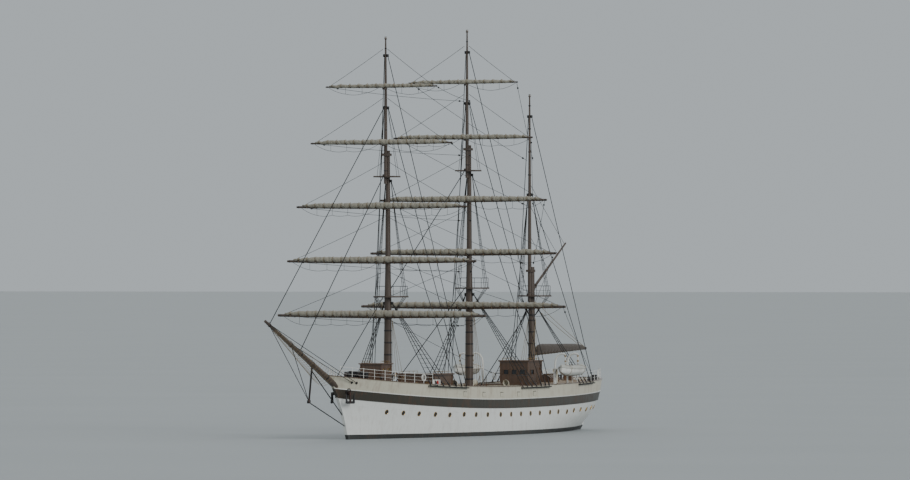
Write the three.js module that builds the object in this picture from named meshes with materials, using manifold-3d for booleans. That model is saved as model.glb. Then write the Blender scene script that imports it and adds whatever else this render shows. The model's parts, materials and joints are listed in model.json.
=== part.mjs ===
// A three-masted barque afloat with her sails furled, as a scale model.
// Sizes are metres of the real ship. Geometry is drawn at SCALE, in millimetres.
// X runs forward, Y to port and Z up. The origin is amidships on the waterline.
import * as THREE from "three";
import { mergeVertices } from "three/addons/utils/BufferGeometryUtils.js";
import Module from "manifold-3d";

const wasm = await Module();
wasm.setup();

// Driving dimensions
const SCALE = 1 / 2;
const MM = 1000 * SCALE; // millimetres of model for one real metre
const GAP = 0.3 / MM; // 0.3 mm of model between pieces that touch
const PLAY = 5 / MM; // 5 mm of model between pieces that move past each other
const PORT = 1;
const STARBOARD = -1;
const SIDES = { port: PORT, starboard: STARBOARD };

const MIDSHIP = 1.0; // station of the greatest breadth
const STATIONS = 20; // steps from stem to stern
const STATION_ENDS = [30, -25.5]; // the first and last station of the grid, before it is fitted to a level
const FITTED = 8; // stations from each end that are fitted to the level's own end
const FORECASTLE_BREAK = 6; // station where the forecastle ends
const POOP_BREAK = 13; // station where the poop begins
const BULWARK = 0.16; // thickness of the bulwark
const CAMBER = 0.12; // rise of the decks to the centre line
const DECK_BELOW_RAIL = 0.15;
const PLANKING = 0.1;
const WATERWAY = 0.04; // gutter between a deck and the bulwark

const BOWSPRIT = { heel: [29.6, 4.75], tip: [45.4, 11.3], radius: 0.34, tipRadius: 0.13 };
const UPPER_AHEAD = 0.5; // axis of an upper mast before that of its lower mast
const PIVOT_AHEAD = 0.98; // yard pivot before the lower mast's axis
const YARD_AHEAD = 0.5; // yard before its pivot
const TOP_FRONT = 0.95; // front of a top's platform, before its mast's axis
const TREES_FRONT = 0.95; // front of the crosstrees, before the lower mast's axis

// Lower masts: radius by height. The doubling is where the upper mast stands before the lower one.
const SQUARE_MAST = {
  lower: [[0.38, 2.5], [0.38, 6], [0.34, 13], [0.27, 16], [0.21, 24.5], [0.2, 27.5]],
  upper: [[0.17, 24.3], [0.17, 27.6], [0.14, 32], [0.09, 37]],
  top: 13.5,
  trees: 25,
  cap: 27.1,
};
const MIZZEN_MAST = {
  lower: [[0.36, 2.5], [0.36, 6], [0.31, 13], [0.28, 16.4]],
  upper: [[0.19, 12.9], [0.19, 16.4], [0.15, 24], [0.09, 32]],
  top: null,
  trees: 13.5,
  cap: 16,
};
const MASTS = {
  fore: { x: 19, raised: 0, truck: 38.4, rig: SQUARE_MAST },
  main: { x: 0.5, raised: 0.8, truck: 39.6, rig: SQUARE_MAST },
  mizzen: { x: -14.3, raised: 0, truck: 33.6, rig: MIZZEN_MAST },
};

// Square yards of the fore mast. The main mast's hang higher by what that mast is raised.
const YARDS = [
  { name: "course", height: 11.7, length: 22, radius: 0.26, sail: 0.33, on: "lower" },
  { name: "lower_topsail", height: 16.9, length: 20, radius: 0.24, sail: 0.3, on: "lower" },
  { name: "upper_topsail", height: 22.1, length: 18, radius: 0.21, sail: 0.29, on: "lower" },
  { name: "topgallant", height: 28.2, length: 15, radius: 0.17, sail: 0.26, on: "upper" },
  { name: "royal", height: 33.6, length: 11.8, radius: 0.14, sail: 0.22, on: "upper" },
];
const PIN_RADIUS = 0.06;
const PIVOT_AFT = -0.62; // pivots of the boom and the gaff, behind the mizzen mast's axis
const BOOM = { height: 7.75, length: 12.6, rise: 2, radius: 0.2, tip: 0.14 };
const GAFF = { height: 14.4, length: 8.8, rise: 30, radius: 0.15, tip: 0.09 };

// Shrouds and backstays: foot is how far behind the mast, head the height, on which mast.
const SQUARE_SHROUDS = [
  { foot: 1.0, head: 12.9, on: "lower" },
  { foot: 2.1, head: 12.9, on: "lower" },
  { foot: 3.2, head: 12.9, on: "lower" },
  { foot: 4.3, head: 12.9, on: "lower" },
  { foot: 5.4, head: 24.6, on: "lower" },
  { foot: 6.4, head: 31.6, on: "upper" },
  { foot: 7.3, head: 36.6, on: "upper" },
];
const MIZZEN_SHROUDS = [
  { foot: 1.0, head: 12.6, on: "lower" },
  { foot: 2.1, head: 12.6, on: "lower" },
  { foot: 3.2, head: 12.6, on: "lower" },
  { foot: 4.3, head: 23.6, on: "upper" },
  { foot: 5.3, head: 31.4, on: "upper" },
];
const WIRE = 0.035; // radius of shrouds and stays

// Materials
const paint = (color, roughness, metalness = 0) =>
  new THREE.MeshStandardMaterial({ color, roughness, metalness });
const MATERIALS = {
  antifouling: paint(0x6e2f27, 0.8),
  white: paint(0xe4e6e0, 0.45),
  band: paint(0x56574f, 0.5),
  cream: paint(0xcfcbb8, 0.5),
  teak: paint(0x9b8468, 0.75),
  varnish: paint(0x4a3524, 0.35),
  spar: paint(0x4c4037, 0.5),
  cover: paint(0x4a4138, 0.9),
  iron: paint(0x1d1e1f, 0.6, 0.5),
  wire: paint(0x2a2a29, 0.6, 0.4),
  bronze: paint(0xa98446, 0.35, 0.9),
};

// A closed three.js geometry in real metres as a solid in model millimetres.
function solid(geometry) {
  const bare = geometry.clone().scale(MM, MM, MM);
  bare.deleteAttribute("normal");
  bare.deleteAttribute("uv");
  const merged = mergeVertices(bare, 1e-3);
  const triVerts = new Uint32Array(merged.index.array);
  const vertProperties = merged.attributes.position.array;
  return new wasm.Manifold(new wasm.Mesh({ numProp: 3, vertProperties, triVerts }));
}

const join = (...solids) => solids.reduce((a, b) => a.add(b));
const cut = (body, ...tools) => tools.reduce((a, b) => a.subtract(b), body);
const moved = (body, x, y, z) => body.translate([x * MM, y * MM, z * MM]);

// The largest piece of a solid that a cut has left in several.
const largest = (body) => body.decompose().reduce((a, b) => (a.volume() > b.volume() ? a : b));

// What stands on a base: its foot is cut to the base, less the gap between them.
const seated = (body, base) => largest(cut(body, moved(base, 0, 0, GAP), base));

function geometryOf(body) {
  const { vertProperties, triVerts } = body.getMesh();
  const geometry = new THREE.BufferGeometry();
  geometry.setAttribute("position", new THREE.BufferAttribute(new Float32Array(vertProperties), 3));
  geometry.setIndex(new THREE.BufferAttribute(new Uint32Array(triVerts), 1));
  geometry.computeVertexNormals();
  return geometry;
}

const ship = new THREE.Group();

// Adds a solid to a group as a named mesh.
function addPiece(name, body, material, group = ship) {
  const mesh = new THREE.Mesh(geometryOf(body), material);
  mesh.name = name;
  group.add(mesh);
}

// Simple solids, all in real metres
function box(x, y, z) {
  const geometry = new THREE.BoxGeometry(x[1] - x[0], y[1] - y[0], z[1] - z[0]);
  return solid(geometry.translate((x[0] + x[1]) / 2, (y[0] + y[1]) / 2, (z[0] + z[1]) / 2));
}

// A straight rod, round or tapered, between two points.
function rod(from, to, radius, { endRadius = radius, sides = 8 } = {}) {
  const start = new THREE.Vector3(...from);
  const run = new THREE.Vector3(...to).sub(start);
  const geometry = new THREE.CylinderGeometry(endRadius, radius, run.length(), sides);
  const turn = new THREE.Quaternion().setFromUnitVectors(new THREE.Vector3(0, 1, 0), run.clone().normalize());
  geometry.applyQuaternion(turn);
  const middle = start.add(run.multiplyScalar(0.5));
  return solid(geometry.translate(middle.x, middle.y, middle.z));
}

// The bore for a pin or shaft along a rod's line: its flats clear the pin's corners by the gap as it turns.
const BORE_SIDES = 16;
const bore = (from, to, pinRadius) =>
  rod(from, to, (pinRadius + GAP) / Math.cos(Math.PI / BORE_SIDES), { sides: BORE_SIDES });

// A turned solid from rows of radius and place on its axis, along Z or, lying, along Y.
function turned(profile, { sides = 12, lying = false } = {}) {
  const points = [[0, profile[0][1]], ...profile, [0, profile.at(-1)[1]]];
  const lathe = new THREE.LatheGeometry(points.map(([r, h]) => new THREE.Vector2(r, h)), sides);
  return solid(lying ? lathe : lathe.rotateX(Math.PI / 2));
}

// A tube along a smooth curve through points.
function tube(points, radius, { sides = 8, steps = 10 } = {}) {
  const section = new THREE.Shape();
  section.absarc(0, 0, radius, 0, 2 * Math.PI);
  const curve = new THREE.CatmullRomCurve3(points.map((p) => new THREE.Vector3(...p)));
  const settings = { steps, curveSegments: sides, extrudePath: curve, bevelEnabled: false };
  return solid(new THREE.ExtrudeGeometry(section, settings));
}

// Triangles that close the first and the last of several rings with a flat fan.
function fans(rings) {
  const count = rings[0].length;
  const last = (rings.length - 1) * count;
  const index = [];
  for (let i = 1; i + 1 < count; i++) index.push(0, i + 1, i, last, last + i, last + i + 1);
  return index;
}

// A solid through rings of points, each ring with the same count, and the triangles that close its ends.
// The rings may run either way round: the faces are turned outward.
function loft(rings, ends = fans(rings)) {
  const count = rings[0].length;
  const index = [...ends];
  for (let r = 0; r + 1 < rings.length; r++)
    for (let i = 0; i < count; i++) {
      const a = r * count + i;
      const b = r * count + ((i + 1) % count);
      index.push(a, b, a + count, b, b + count, a + count);
    }
  const geometry = new THREE.BufferGeometry();
  geometry.setAttribute("position", new THREE.Float32BufferAttribute(rings.flat(2), 3));
  geometry.setIndex(index);
  const body = solid(geometry);
  if (body.volume() > 0) return body;
  geometry.setIndex(index.reverse());
  return solid(geometry);
}

// Hull form: one row for each waterline, from the keel to the rail.
// ends: bow and stern. half: greatest half breadth. z: height at the bow, amidships and at the stern.
// bow, stern: fullness of that end as [p, q], half breadth = half * (1 - s^p)^q.
const LEVELS = {
  keel: { ends: [26.3, -23.2], half: 0.2, z: [-4.5, -4.5, -4.5], bow: [9, 1], stern: [9, 1] },
  garboard: { ends: [26.5, -23.2], half: 2.6, z: [-4.1, -4.25, -4.15], bow: [1.5, 1.4], stern: [1.3, 2] },
  bilge: { ends: [26.9, -23.2], half: 4.55, z: [-3.1, -3.4, -3.0], bow: [1.7, 1.3], stern: [1.4, 1.8] },
  side: { ends: [27.5, -23.3], half: 5.15, z: [-1.8, -2.0, -1.6], bow: [1.8, 1.2], stern: [1.6, 1.5] },
  water: { ends: [28.0, -25.9], half: 5.28, z: [0, 0, 0], bow: [1.9, 1.1], stern: [2, 1.1] },
  boot: { ends: [28.2, -26.5], half: 5.3, z: [0.45, 0.4, 0.45], bow: [1.9, 1.05], stern: [2.2, 1] },
  strake: { ends: [29.0, -27.6], half: 5.32, z: [2.2, 1.5, 1.9], bow: [2, 1], stern: [2.6, 0.75] },
  bandLow: { ends: [30.2, -28.2], half: 5.3, z: [4.0, 2.65, 3.2], bow: [2.1, 0.95], stern: [3, 0.62] },
  bandTop: { ends: [31.0, -28.5], half: 5.28, z: [4.9, 3.5, 4.05], bow: [2.15, 0.92], stern: [3, 0.58] },
  rail: { ends: [32.2, -28.8], half: 5.25, z: [6.1, 4.7, 5.2], bow: [2.2, 0.9], stern: [3, 0.55] },
};
const STEM_HALF = 0.14; // half thickness of the stem and the sternpost

// The port outline of a level at station x: [x, half breadth, height].
function outline(level, x) {
  const ahead = x > MIDSHIP;
  const [bowZ, midZ, sternZ] = level.z;
  const [end, endZ, [p, q]] = ahead ? [level.ends[0], bowZ, level.bow] : [level.ends[1], sternZ, level.stern];
  const s = Math.min(1, (x - MIDSHIP) / (end - MIDSHIP));
  const half = Math.max(STEM_HALF, level.half * (1 - s ** p) ** q);
  return [x, half, midZ + (endZ - midZ) * s * s];
}

// Station i of a level: the same for all levels amidships, fitted to the level's ends.
function stationX(level, i) {
  const u = i / STATIONS;
  const eased = (1 - Math.cos(Math.PI * u)) / 2;
  const [bow, stern] = STATION_ENDS;
  const fit = (steps) => Math.max(0, 1 - steps / FITTED) ** 1.5;
  const x = bow + ((stern - bow) * (u + 2 * eased)) / 3;
  return x + (level.ends[0] - bow) * fit(i) + (level.ends[1] - stern) * fit(STATIONS - i);
}

// The outline moved outward by a distance along its own normal, kept on its side of the centre line.
function offsetOutline(level, x, outward) {
  const step = 0.02;
  const [bow, stern] = level.ends;
  const low = Math.max(stern, x - step);
  const high = Math.min(bow, x + step);
  const slope = (outline(level, high)[1] - outline(level, low)[1]) / (high - low);
  const length = Math.hypot(1, slope);
  const [, half, z] = outline(level, x);
  return [x - (outward * slope) / length, Math.max(GAP / 2, half + outward / length), z];
}

// The hull between two or more levels, its lowest ring raised by the gap to the piece below.
function hullBetween(names, raise) {
  const rings = names.map((name, n) => {
    const level = LEVELS[name];
    const port = Array.from({ length: STATIONS + 1 }, (_, i) => outline(level, stationX(level, i)));
    const lifted = port.map(([x, y, z]) => [x, y, n === 0 ? z + raise : z]);
    return [...lifted, ...lifted.map(([x, y, z]) => [x, -y, z]).reverse()];
  });
  const count = rings[0].length;
  const top = (rings.length - 1) * count;
  const ends = [];
  for (let i = 0; i < STATIONS; i++) {
    const j = count - 1 - i;
    ends.push(i, j, i + 1, i + 1, j, j - 1);
    ends.push(top + i, top + i + 1, top + j, top + i + 1, top + j - 1, top + j);
  }
  return loft(rings, ends);
}

const bandTopZ = (x) => outline(LEVELS.bandTop, x)[2];
const railZ = (x) => outline(LEVELS.rail, x)[2];

// Underbody with the sternpost's heel, the shaft boss and the rudder's trunk
const PROPELLER = { x: -23.85, z: -2.85, radius: 1.12, hub: 0.18 };
const RUDDER_X = -24.75;
const HEEL_TOP = -4.25;
const heel = box([RUDDER_X - 0.35, -23], [-0.18, 0.18], [-4.5, HEEL_TOP]);
const shaftBoss = rod([-22, 0, PROPELLER.z], [PROPELLER.x + 0.25 + GAP, 0, PROPELLER.z], 0.24);
const belowBoot = hullBetween(["keel", "garboard", "bilge", "side", "water", "boot"], 0);
const STOCK = { radius: 0.13, top: -0.15 }; // rudder stock, which turns in a trunk in the counter
const trunk = bore([RUDDER_X, 0, -2], [RUDDER_X, 0, STOCK.top + GAP], STOCK.radius);
const underbody = cut(join(belowBoot, heel, shaftBoss), trunk);
const topsides = hullBetween(["boot", "strake", "bandLow"], GAP);

// The bowsprit's bed, cut through everything at the stem
const spritPoint = (x) => {
  const [[x0, z0], [x1, z1]] = [BOWSPRIT.heel, BOWSPRIT.tip];
  return [x, 0, z0 + ((x - x0) * (z1 - z0)) / (x1 - x0)];
};
const spritBed = rod(spritPoint(BOWSPRIT.heel[0] - GAP), spritPoint(35), BOWSPRIT.radius + GAP, { sides: 12 });
const band = cut(hullBetween(["bandLow", "bandTop"], GAP), spritBed);

const stations = (from, to) => Array.from({ length: to - from + 1 }, (_, i) => from + i);

// The foot and the head of the bulwark's inner face at a station, both a distance further in.
function bulwarkInside(i, further = 0) {
  const [foot, head] = ["bandTop", "rail"].map((name) =>
    offsetOutline(LEVELS[name], stationX(LEVELS[name], i), -BULWARK - further),
  );
  foot[2] += GAP;
  return [foot, head];
}

// One bulwark: a wall from the band to the rail, from stem to stern
function bulwark(side) {
  const rings = stations(0, STATIONS).map((i) => {
    const foot = outline(LEVELS.bandTop, stationX(LEVELS.bandTop, i));
    const head = outline(LEVELS.rail, stationX(LEVELS.rail, i));
    const [innerFoot, innerHead] = bulwarkInside(i);
    foot[2] += GAP;
    return [foot, head, innerHead, innerFoot].map(([x, y, z]) => [x, y * side, z]);
  });
  return cut(loft(rings), spritBed);
}
const bulwarks = { port: bulwark(PORT), starboard: bulwark(STARBOARD) };

// A deck between the bulwarks from one station to another. sideHeight gives its side's height at a station.
function deckBlock(from, to, sideHeight) {
  const rings = stations(from, to).map((i) => {
    const [foot, head] = bulwarkInside(i, WATERWAY);
    const t = (sideHeight(foot, head) - foot[2]) / (head[2] - foot[2]);
    const edge = foot.map((value, axis) => value + (head[axis] - value) * t);
    const mirror = ([x, y, z]) => [x, -y, z];
    return [mirror(foot), foot, edge, [edge[0], 0, edge[2] + CAMBER], mirror(edge)];
  });
  return loft(rings);
}

const mainDeckSide = (foot) => foot[2] + PLANKING;
const raisedDeckSide = (foot, head) => head[2] - DECK_BELOW_RAIL;
const forecastle = largest(cut(deckBlock(1, FORECASTLE_BREAK, raisedDeckSide), spritBed));
const sternWalls = Object.values(bulwarks).flatMap((wall) => [wall, moved(wall, GAP, 0, 0)]);
const poop = largest(cut(deckBlock(POOP_BREAK, STATIONS, raisedDeckSide), ...sternWalls));
const mainDeck = deckBlock(FORECASTLE_BREAK, POOP_BREAK, mainDeckSide);

addPiece("hull_bottom", underbody, MATERIALS.antifouling);
addPiece("hull_topsides", topsides, MATERIALS.white);
addPiece("hull_band", band, MATERIALS.band);
addPiece("main_deck", cut(mainDeck, moved(forecastle, -GAP, 0, 0), moved(poop, GAP, 0, 0)), MATERIALS.teak);
addPiece("forecastle", forecastle, MATERIALS.teak);
addPiece("poop", poop, MATERIALS.teak);
for (const [name, wall] of Object.entries(bulwarks)) addPiece(`bulwark_${name}`, wall, MATERIALS.cream);

// Masts
const DECK_UNDER = { fore: forecastle, main: mainDeck, mizzen: poop };
const raisedBy = (profile, height) => profile.map(([radius, z]) => [radius, z + height]);

// The radius of a turned profile at a height.
function radiusAt(profile, z) {
  const upper = profile.findIndex(([, height]) => height >= z);
  const [[r0, z0], [r1, z1]] = [profile[upper - 1], profile[upper]];
  return r0 + ((r1 - r0) * (z - z0)) / (z1 - z0);
}

// Axis and profile of a mast's lower or upper part, as { x, profile }.
function mastPart(mast, part) {
  return {
    x: mast.x + (part === "upper" ? UPPER_AHEAD : 0),
    profile: raisedBy(mast.rig[part], mast.raised),
  };
}

// The platform of a top: round in front, square behind.
function topPlatform(x, z) {
  const [half, aft, thickness] = [1.6, 1.25, 0.14];
  const shape = new THREE.Shape();
  shape.moveTo(-aft, -half);
  shape.lineTo(-0.4, -half);
  shape.bezierCurveTo(0.5, -half, TOP_FRONT, -0.9, TOP_FRONT, 0);
  shape.bezierCurveTo(TOP_FRONT, 0.9, 0.5, half, -0.4, half);
  shape.lineTo(-aft, half);
  const plate = new THREE.ExtrudeGeometry(shape, { depth: thickness, bevelEnabled: false, curveSegments: 5 });
  return solid(plate.translate(x, 0, z - thickness / 2));
}

// The shelf and pin that carry a yard, a boom or a gaff at a pivot.
function gooseneck(axisX, pivotX, z) {
  const front = pivotX + 0.08 * Math.sign(pivotX - axisX);
  const shelf = box([Math.min(axisX, front), Math.max(axisX, front)], [-0.1, 0.1], [z - 0.28, z - 0.12]);
  return join(shelf, rod([pivotX, 0, z - 0.2], [pivotX, 0, z + 0.16], PIN_RADIUS));
}

// The eye of a spar around its pin, with the pivot at the group's origin.
function sparEye(reach) {
  const ring = turned([[0.17, -0.12 + GAP], [0.17, 0.12]]);
  const neck = box([Math.min(0, reach), Math.max(0, reach)], [-0.1, 0.1], [-0.1, 0.1]);
  return cut(join(ring, neck), bore([0, 0, -1], [0, 0, 1], PIN_RADIUS));
}

for (const [name, mast] of Object.entries(MASTS)) {
  const { rig, raised } = mast;
  const lower = mastPart(mast, "lower");
  const upper = mastPart(mast, "upper");
  const trees = rig.trees + raised;
  const cap = rig.cap + raised;
  const square = rig === SQUARE_MAST;

  const upperProfile = [
    ...upper.profile,
    [0.07, mast.truck - 0.3],
    [0.13, mast.truck - 0.25],
    [0.1, mast.truck],
  ];
  const fid = box([-0.07, 0.07], [-0.32, 0.32], [trees + 0.07 + GAP, trees + 0.22]);
  let upperMast = moved(join(turned(upperProfile), fid), upper.x, 0, 0);
  const bed = rod([upper.x, 0, trees - 1], [upper.x, 0, cap + 1], upper.profile[0][0] + GAP, { sides: 12 });

  const crosstrees = box([lower.x - 0.5, lower.x + TREES_FRONT], [-1.1, 1.1], [trees - 0.07, trees + 0.07]);
  const top = topPlatform(lower.x, square ? rig.top + raised : trees);
  const capBlock = box([lower.x - 0.28, upper.x + 0.3], [-0.28, 0.28], [cap - 0.12, cap + 0.12]);
  let lowerMast = moved(turned(lower.profile), lower.x, 0, 0);
  lowerMast = cut(join(lowerMast, top, ...(square ? [crosstrees] : []), capBlock), bed);

  for (const yard of square ? YARDS : []) {
    const z = yard.height + raised;
    const part = yard.on === "lower" ? lower : upper;
    const neck = gooseneck(part.x, mast.x + PIVOT_AHEAD, z);
    if (yard.on === "lower") lowerMast = join(lowerMast, neck);
    else upperMast = join(upperMast, neck);
  }
  for (const spar of square ? [] : [BOOM, GAFF])
    lowerMast = join(lowerMast, gooseneck(mast.x, mast.x + PIVOT_AFT, spar.height));
  mast.lowerBody = seated(lowerMast, DECK_UNDER[name]);
  mast.upperBody = upperMast;
  addPiece(`${name}_mast`, mast.lowerBody, MATERIALS.spar);
  addPiece(square ? `${name}_topgallant_mast` : `${name}_topmast`, mast.upperBody, MATERIALS.spar);
}

// A turned spar or roll of sail lying along Y, the same on both sides of the middle.
function lyingSpar(half, sides) {
  const profile = [...half.map(([radius, y]) => [radius, -y]), ...half.filter(([, y]) => y > 0).toReversed()];
  return turned(profile, { lying: true, sides });
}

// Square yards with their furled sails, each in a group at its pivot
for (const mast of [MASTS.fore, MASTS.main]) {
  const mastName = mast === MASTS.fore ? "fore" : "main";
  for (const { name, height, length, radius, sail } of YARDS) {
    const group = new THREE.Group();
    group.position.set((mast.x + PIVOT_AHEAD) * MM, 0, (height + mast.raised) * MM);
    ship.add(group);
    const arm = length / 2;
    const spar = lyingSpar([[radius * 0.45, arm], [radius * 0.8, arm * 0.6], [radius, arm * 0.15]], 10);
    const bunt = [[sail * 0.35, arm * 0.93], [sail * 0.8, arm * 0.75], [sail * 0.85, arm * 0.2], [sail, 0]];
    const furled = moved(lyingSpar(bunt, 8), YARD_AHEAD + 0.1, 0, radius * 0.9);
    const body = join(moved(spar, YARD_AHEAD, 0, 0), furled, sparEye(YARD_AHEAD));
    addPiece(`${mastName}_${name}_yard`, body, MATERIALS.spar, group);
  }
}

// Spanker boom and gaff, and the furled spanker under its cover on the boom
function aftSpar({ height, length, rise, radius, tip }) {
  const group = new THREE.Group();
  group.position.set((MASTS.mizzen.x + PIVOT_AFT) * MM, 0, height * MM);
  ship.add(group);
  const angle = THREE.MathUtils.degToRad(rise);
  const along = (distance, up = 0) => [
    -distance * Math.cos(angle) - up * Math.sin(angle),
    0,
    distance * Math.sin(angle) + up * Math.cos(angle),
  ];
  const body = join(rod(along(0.25), along(length), radius, { endRadius: tip, sides: 10 }), sparEye(-0.4));
  return { group, along, body };
}
const boom = aftSpar(BOOM);
const gaff = aftSpar(GAFF);
addPiece("spanker_boom", boom.body, MATERIALS.spar, boom.group);
addPiece("spanker_gaff", gaff.body, MATERIALS.spar, gaff.group);
const coverRings = [
  { at: 0.6, half: 0.3, tall: 0.75 },
  { at: 2, half: 0.34, tall: 0.8 },
  { at: 6, half: 0.3, tall: 0.62 },
  { at: 10, half: 0.26, tall: 0.46 },
  { at: 11.8, half: 0.14, tall: 0.26 },
].map(({ at, half, tall }) =>
  Array.from({ length: 10 }, (_, i) => {
    const turn = (2 * Math.PI * i) / 10;
    const [x, , z] = boom.along(at, tall * 0.5 + (tall * 0.5 + 0.12) * Math.sin(turn));
    return [x, half * Math.cos(turn), z];
  }),
);
addPiece("furled_spanker", seated(loft(coverRings), boom.body), MATERIALS.cover, boom.group);

// Bowsprit, with the dolphin striker and its chains under it
const sprit = rod(spritPoint(BOWSPRIT.heel[0]), spritPoint(BOWSPRIT.tip[0]), BOWSPRIT.radius, {
  endRadius: BOWSPRIT.tipRadius,
  sides: 12,
});
addPiece("bowsprit", sprit, MATERIALS.spar);
const STRIKER = { x: 35.5, rake: 0.7, length: 3.6, radius: 0.09 };
const BOBSTAY = { x: 27.9, outerZ: 1.1, innerZ: 1.6, radius: 0.05 };
const strikerTop = spritPoint(STRIKER.x);
const [footX, footZ] = [STRIKER.x + STRIKER.rake, strikerTop[2] - STRIKER.length];
const martingales = join(
  rod(strikerTop, [footX, 0, footZ], STRIKER.radius),
  box([footX - 0.15, footX + 0.15], [-0.12, 0.12], [footZ - 0.05, footZ + 0.25]),
  rod([footX, 0, footZ + 0.15], spritPoint(44.6), WIRE, { sides: 6 }),
  rod([footX, 0, footZ + 0.1], spritPoint(40), WIRE, { sides: 6 }),
  rod([footX, 0, footZ + 0.05], [BOBSTAY.x, 0, BOBSTAY.outerZ], BOBSTAY.radius, { sides: 6 }),
  rod([STRIKER.x + 0.1, 0, strikerTop[2] - 0.6], [BOBSTAY.x, 0, BOBSTAY.innerZ], BOBSTAY.radius, { sides: 6 }),
);
const underSprit = [sprit, moved(sprit, 0, 0, -GAP)];
const onStem = [topsides, moved(topsides, GAP, 0, 0), underbody, moved(underbody, GAP, 0, 0)];
addPiece("dolphin_striker", largest(cut(martingales, ...underSprit, ...onStem)), MATERIALS.iron);

// Shrouds and backstays of one side of a mast, with the channel that holds their feet.
// in, out: the channel's edges, out from the rail. wire: where the wires stand on it.
const CHANNEL = { in: 0.02, out: 0.27, drop: 0.1, thickness: 0.1, wire: 0.16, ahead: -0.7, spans: 5 };
function shroudGang(mast, rows, side) {
  const last = rows.at(-1).foot;
  const channel = loft(
    Array.from({ length: CHANNEL.spans + 1 }, (_, i) => {
      const x = mast.x + CHANNEL.ahead - ((last - 0.4) * i) / CHANNEL.spans;
      const [inX, inY, z] = offsetOutline(LEVELS.rail, x, CHANNEL.in);
      const [outX, outY] = offsetOutline(LEVELS.rail, x, CHANNEL.out);
      const top = z - CHANNEL.drop;
      const bottom = top - CHANNEL.thickness;
      return [[inX, inY, bottom], [outX, outY, bottom], [outX, outY, top], [inX, inY, top]];
    }).map((ring) => ring.map(([x, y, z]) => [x, y * side, z])),
  );
  const pieces = [channel];
  for (const { foot, head, on } of rows) {
    const part = mastPart(mast, on);
    const z = head + mast.raised;
    const face = radiusAt(part.profile, z - 0.15) + GAP;
    const [footX, footY, railHeight] = offsetOutline(LEVELS.rail, mast.x - foot, CHANNEL.wire);
    const headPoint = [part.x - 0.1, side * (face + 0.07), z];
    const lug = [face, face + 0.14].map((y) => y * side).sort((a, b) => a - b);
    pieces.push(rod([footX, side * footY, railHeight - 0.15], headPoint, WIRE, { sides: 6 }));
    pieces.push(box([part.x - 0.2, part.x + 0.1], lug, [z - 0.15, z + 0.12]));
  }
  return join(...pieces);
}
for (const [mastName, mast] of Object.entries(MASTS))
  for (const [sideName, side] of Object.entries(SIDES)) {
    const rows = mast.rig === SQUARE_MAST ? SQUARE_SHROUDS : MIZZEN_SHROUDS;
    addPiece(`${mastName}_shrouds_${sideName}`, shroudGang(mast, rows, side), MATERIALS.wire);
  }

// Stays in the plane of the keel, each from a lug before its mast to just short of what holds its foot
const { fore, main, mizzen } = MASTS;
const mainDeckTop = (x) => bandTopZ(x) + PLANKING + CAMBER;
const raisedDeckTop = (x) => railZ(x) - DECK_BELOW_RAIL + CAMBER;
const STAY_CLEAR = 0.06;
const onSprit = (x) => {
  const [, , z] = spritPoint(x);
  const t = (x - BOWSPRIT.heel[0]) / (BOWSPRIT.tip[0] - BOWSPRIT.heel[0]);
  return [x, z + BOWSPRIT.radius + (BOWSPRIT.tipRadius - BOWSPRIT.radius) * t + STAY_CLEAR];
};
const onDeck = (x, top) => [x, top(x) + STAY_CLEAR];
const LUG_HALF = 0.06;
const mastFront = (mast, part, z) => mastPart(mast, part).x + radiusAt(mastPart(mast, part).profile, z - LUG_HALF);
const [mainTop, mainTrees] = [main.rig.top + main.raised, main.rig.trees + main.raised];
const STAYS = [
  { name: "fore_stay", face: fore.x + TOP_FRONT, z: fore.rig.top, to: onDeck(30.2, raisedDeckTop) },
  { name: "fore_topmast_stay", face: fore.x + TREES_FRONT, z: fore.rig.trees, to: onSprit(38) },
  { name: "fore_topgallant_stay", face: mastFront(fore, "upper", 31.7), z: 31.7, to: onSprit(44.4) },
  { name: "main_stay", face: main.x + TOP_FRONT, z: mainTop, to: onDeck(17.6, raisedDeckTop) },
  { name: "main_topmast_stay", face: main.x + TREES_FRONT, z: mainTrees, to: [18.6, 14.1] },
  { name: "mizzen_stay", face: mastFront(mizzen, "lower", 12.3), z: 12.3, to: onDeck(-0.7, mainDeckTop) },
];
for (const { name, face, z, to } of STAYS) {
  const lug = box([face + GAP, face + 0.14], [-0.07, 0.07], [z - LUG_HALF, z + LUG_HALF]);
  const wire = rod([face + 0.09, 0, z], [to[0], 0, to[1]], WIRE * 1.2, { sides: 6 });
  addPiece(name, join(lug, wire), MATERIALS.wire);
}

// Propeller, rudder and steering
const blade = new THREE.Shape();
blade.moveTo(0.05, 0.1);
blade.bezierCurveTo(0.42, 0.35, 0.42, 0.95, 0, PROPELLER.radius);
blade.bezierCurveTo(-0.34, 0.95, -0.3, 0.35, -0.05, 0.1);
const bladeSettings = { depth: 0.07, bevelEnabled: false, curveSegments: 6 };
const blades = [0, 1, 2, 3].map((quarter) => {
  const geometry = new THREE.ExtrudeGeometry(blade, bladeSettings).translate(0, 0, -0.035);
  geometry.rotateY(THREE.MathUtils.degToRad(60)).rotateX((quarter * Math.PI) / 2);
  return solid(geometry);
});
const hub = rod([0.25, 0, 0], [-0.28, 0, 0], PROPELLER.hub, { endRadius: 0.1, sides: 12 });
const propellerGroup = new THREE.Group();
propellerGroup.position.set(PROPELLER.x * MM, 0, PROPELLER.z * MM);
ship.add(propellerGroup);
addPiece("propeller", join(hub, ...blades), MATERIALS.bronze, propellerGroup);

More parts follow.
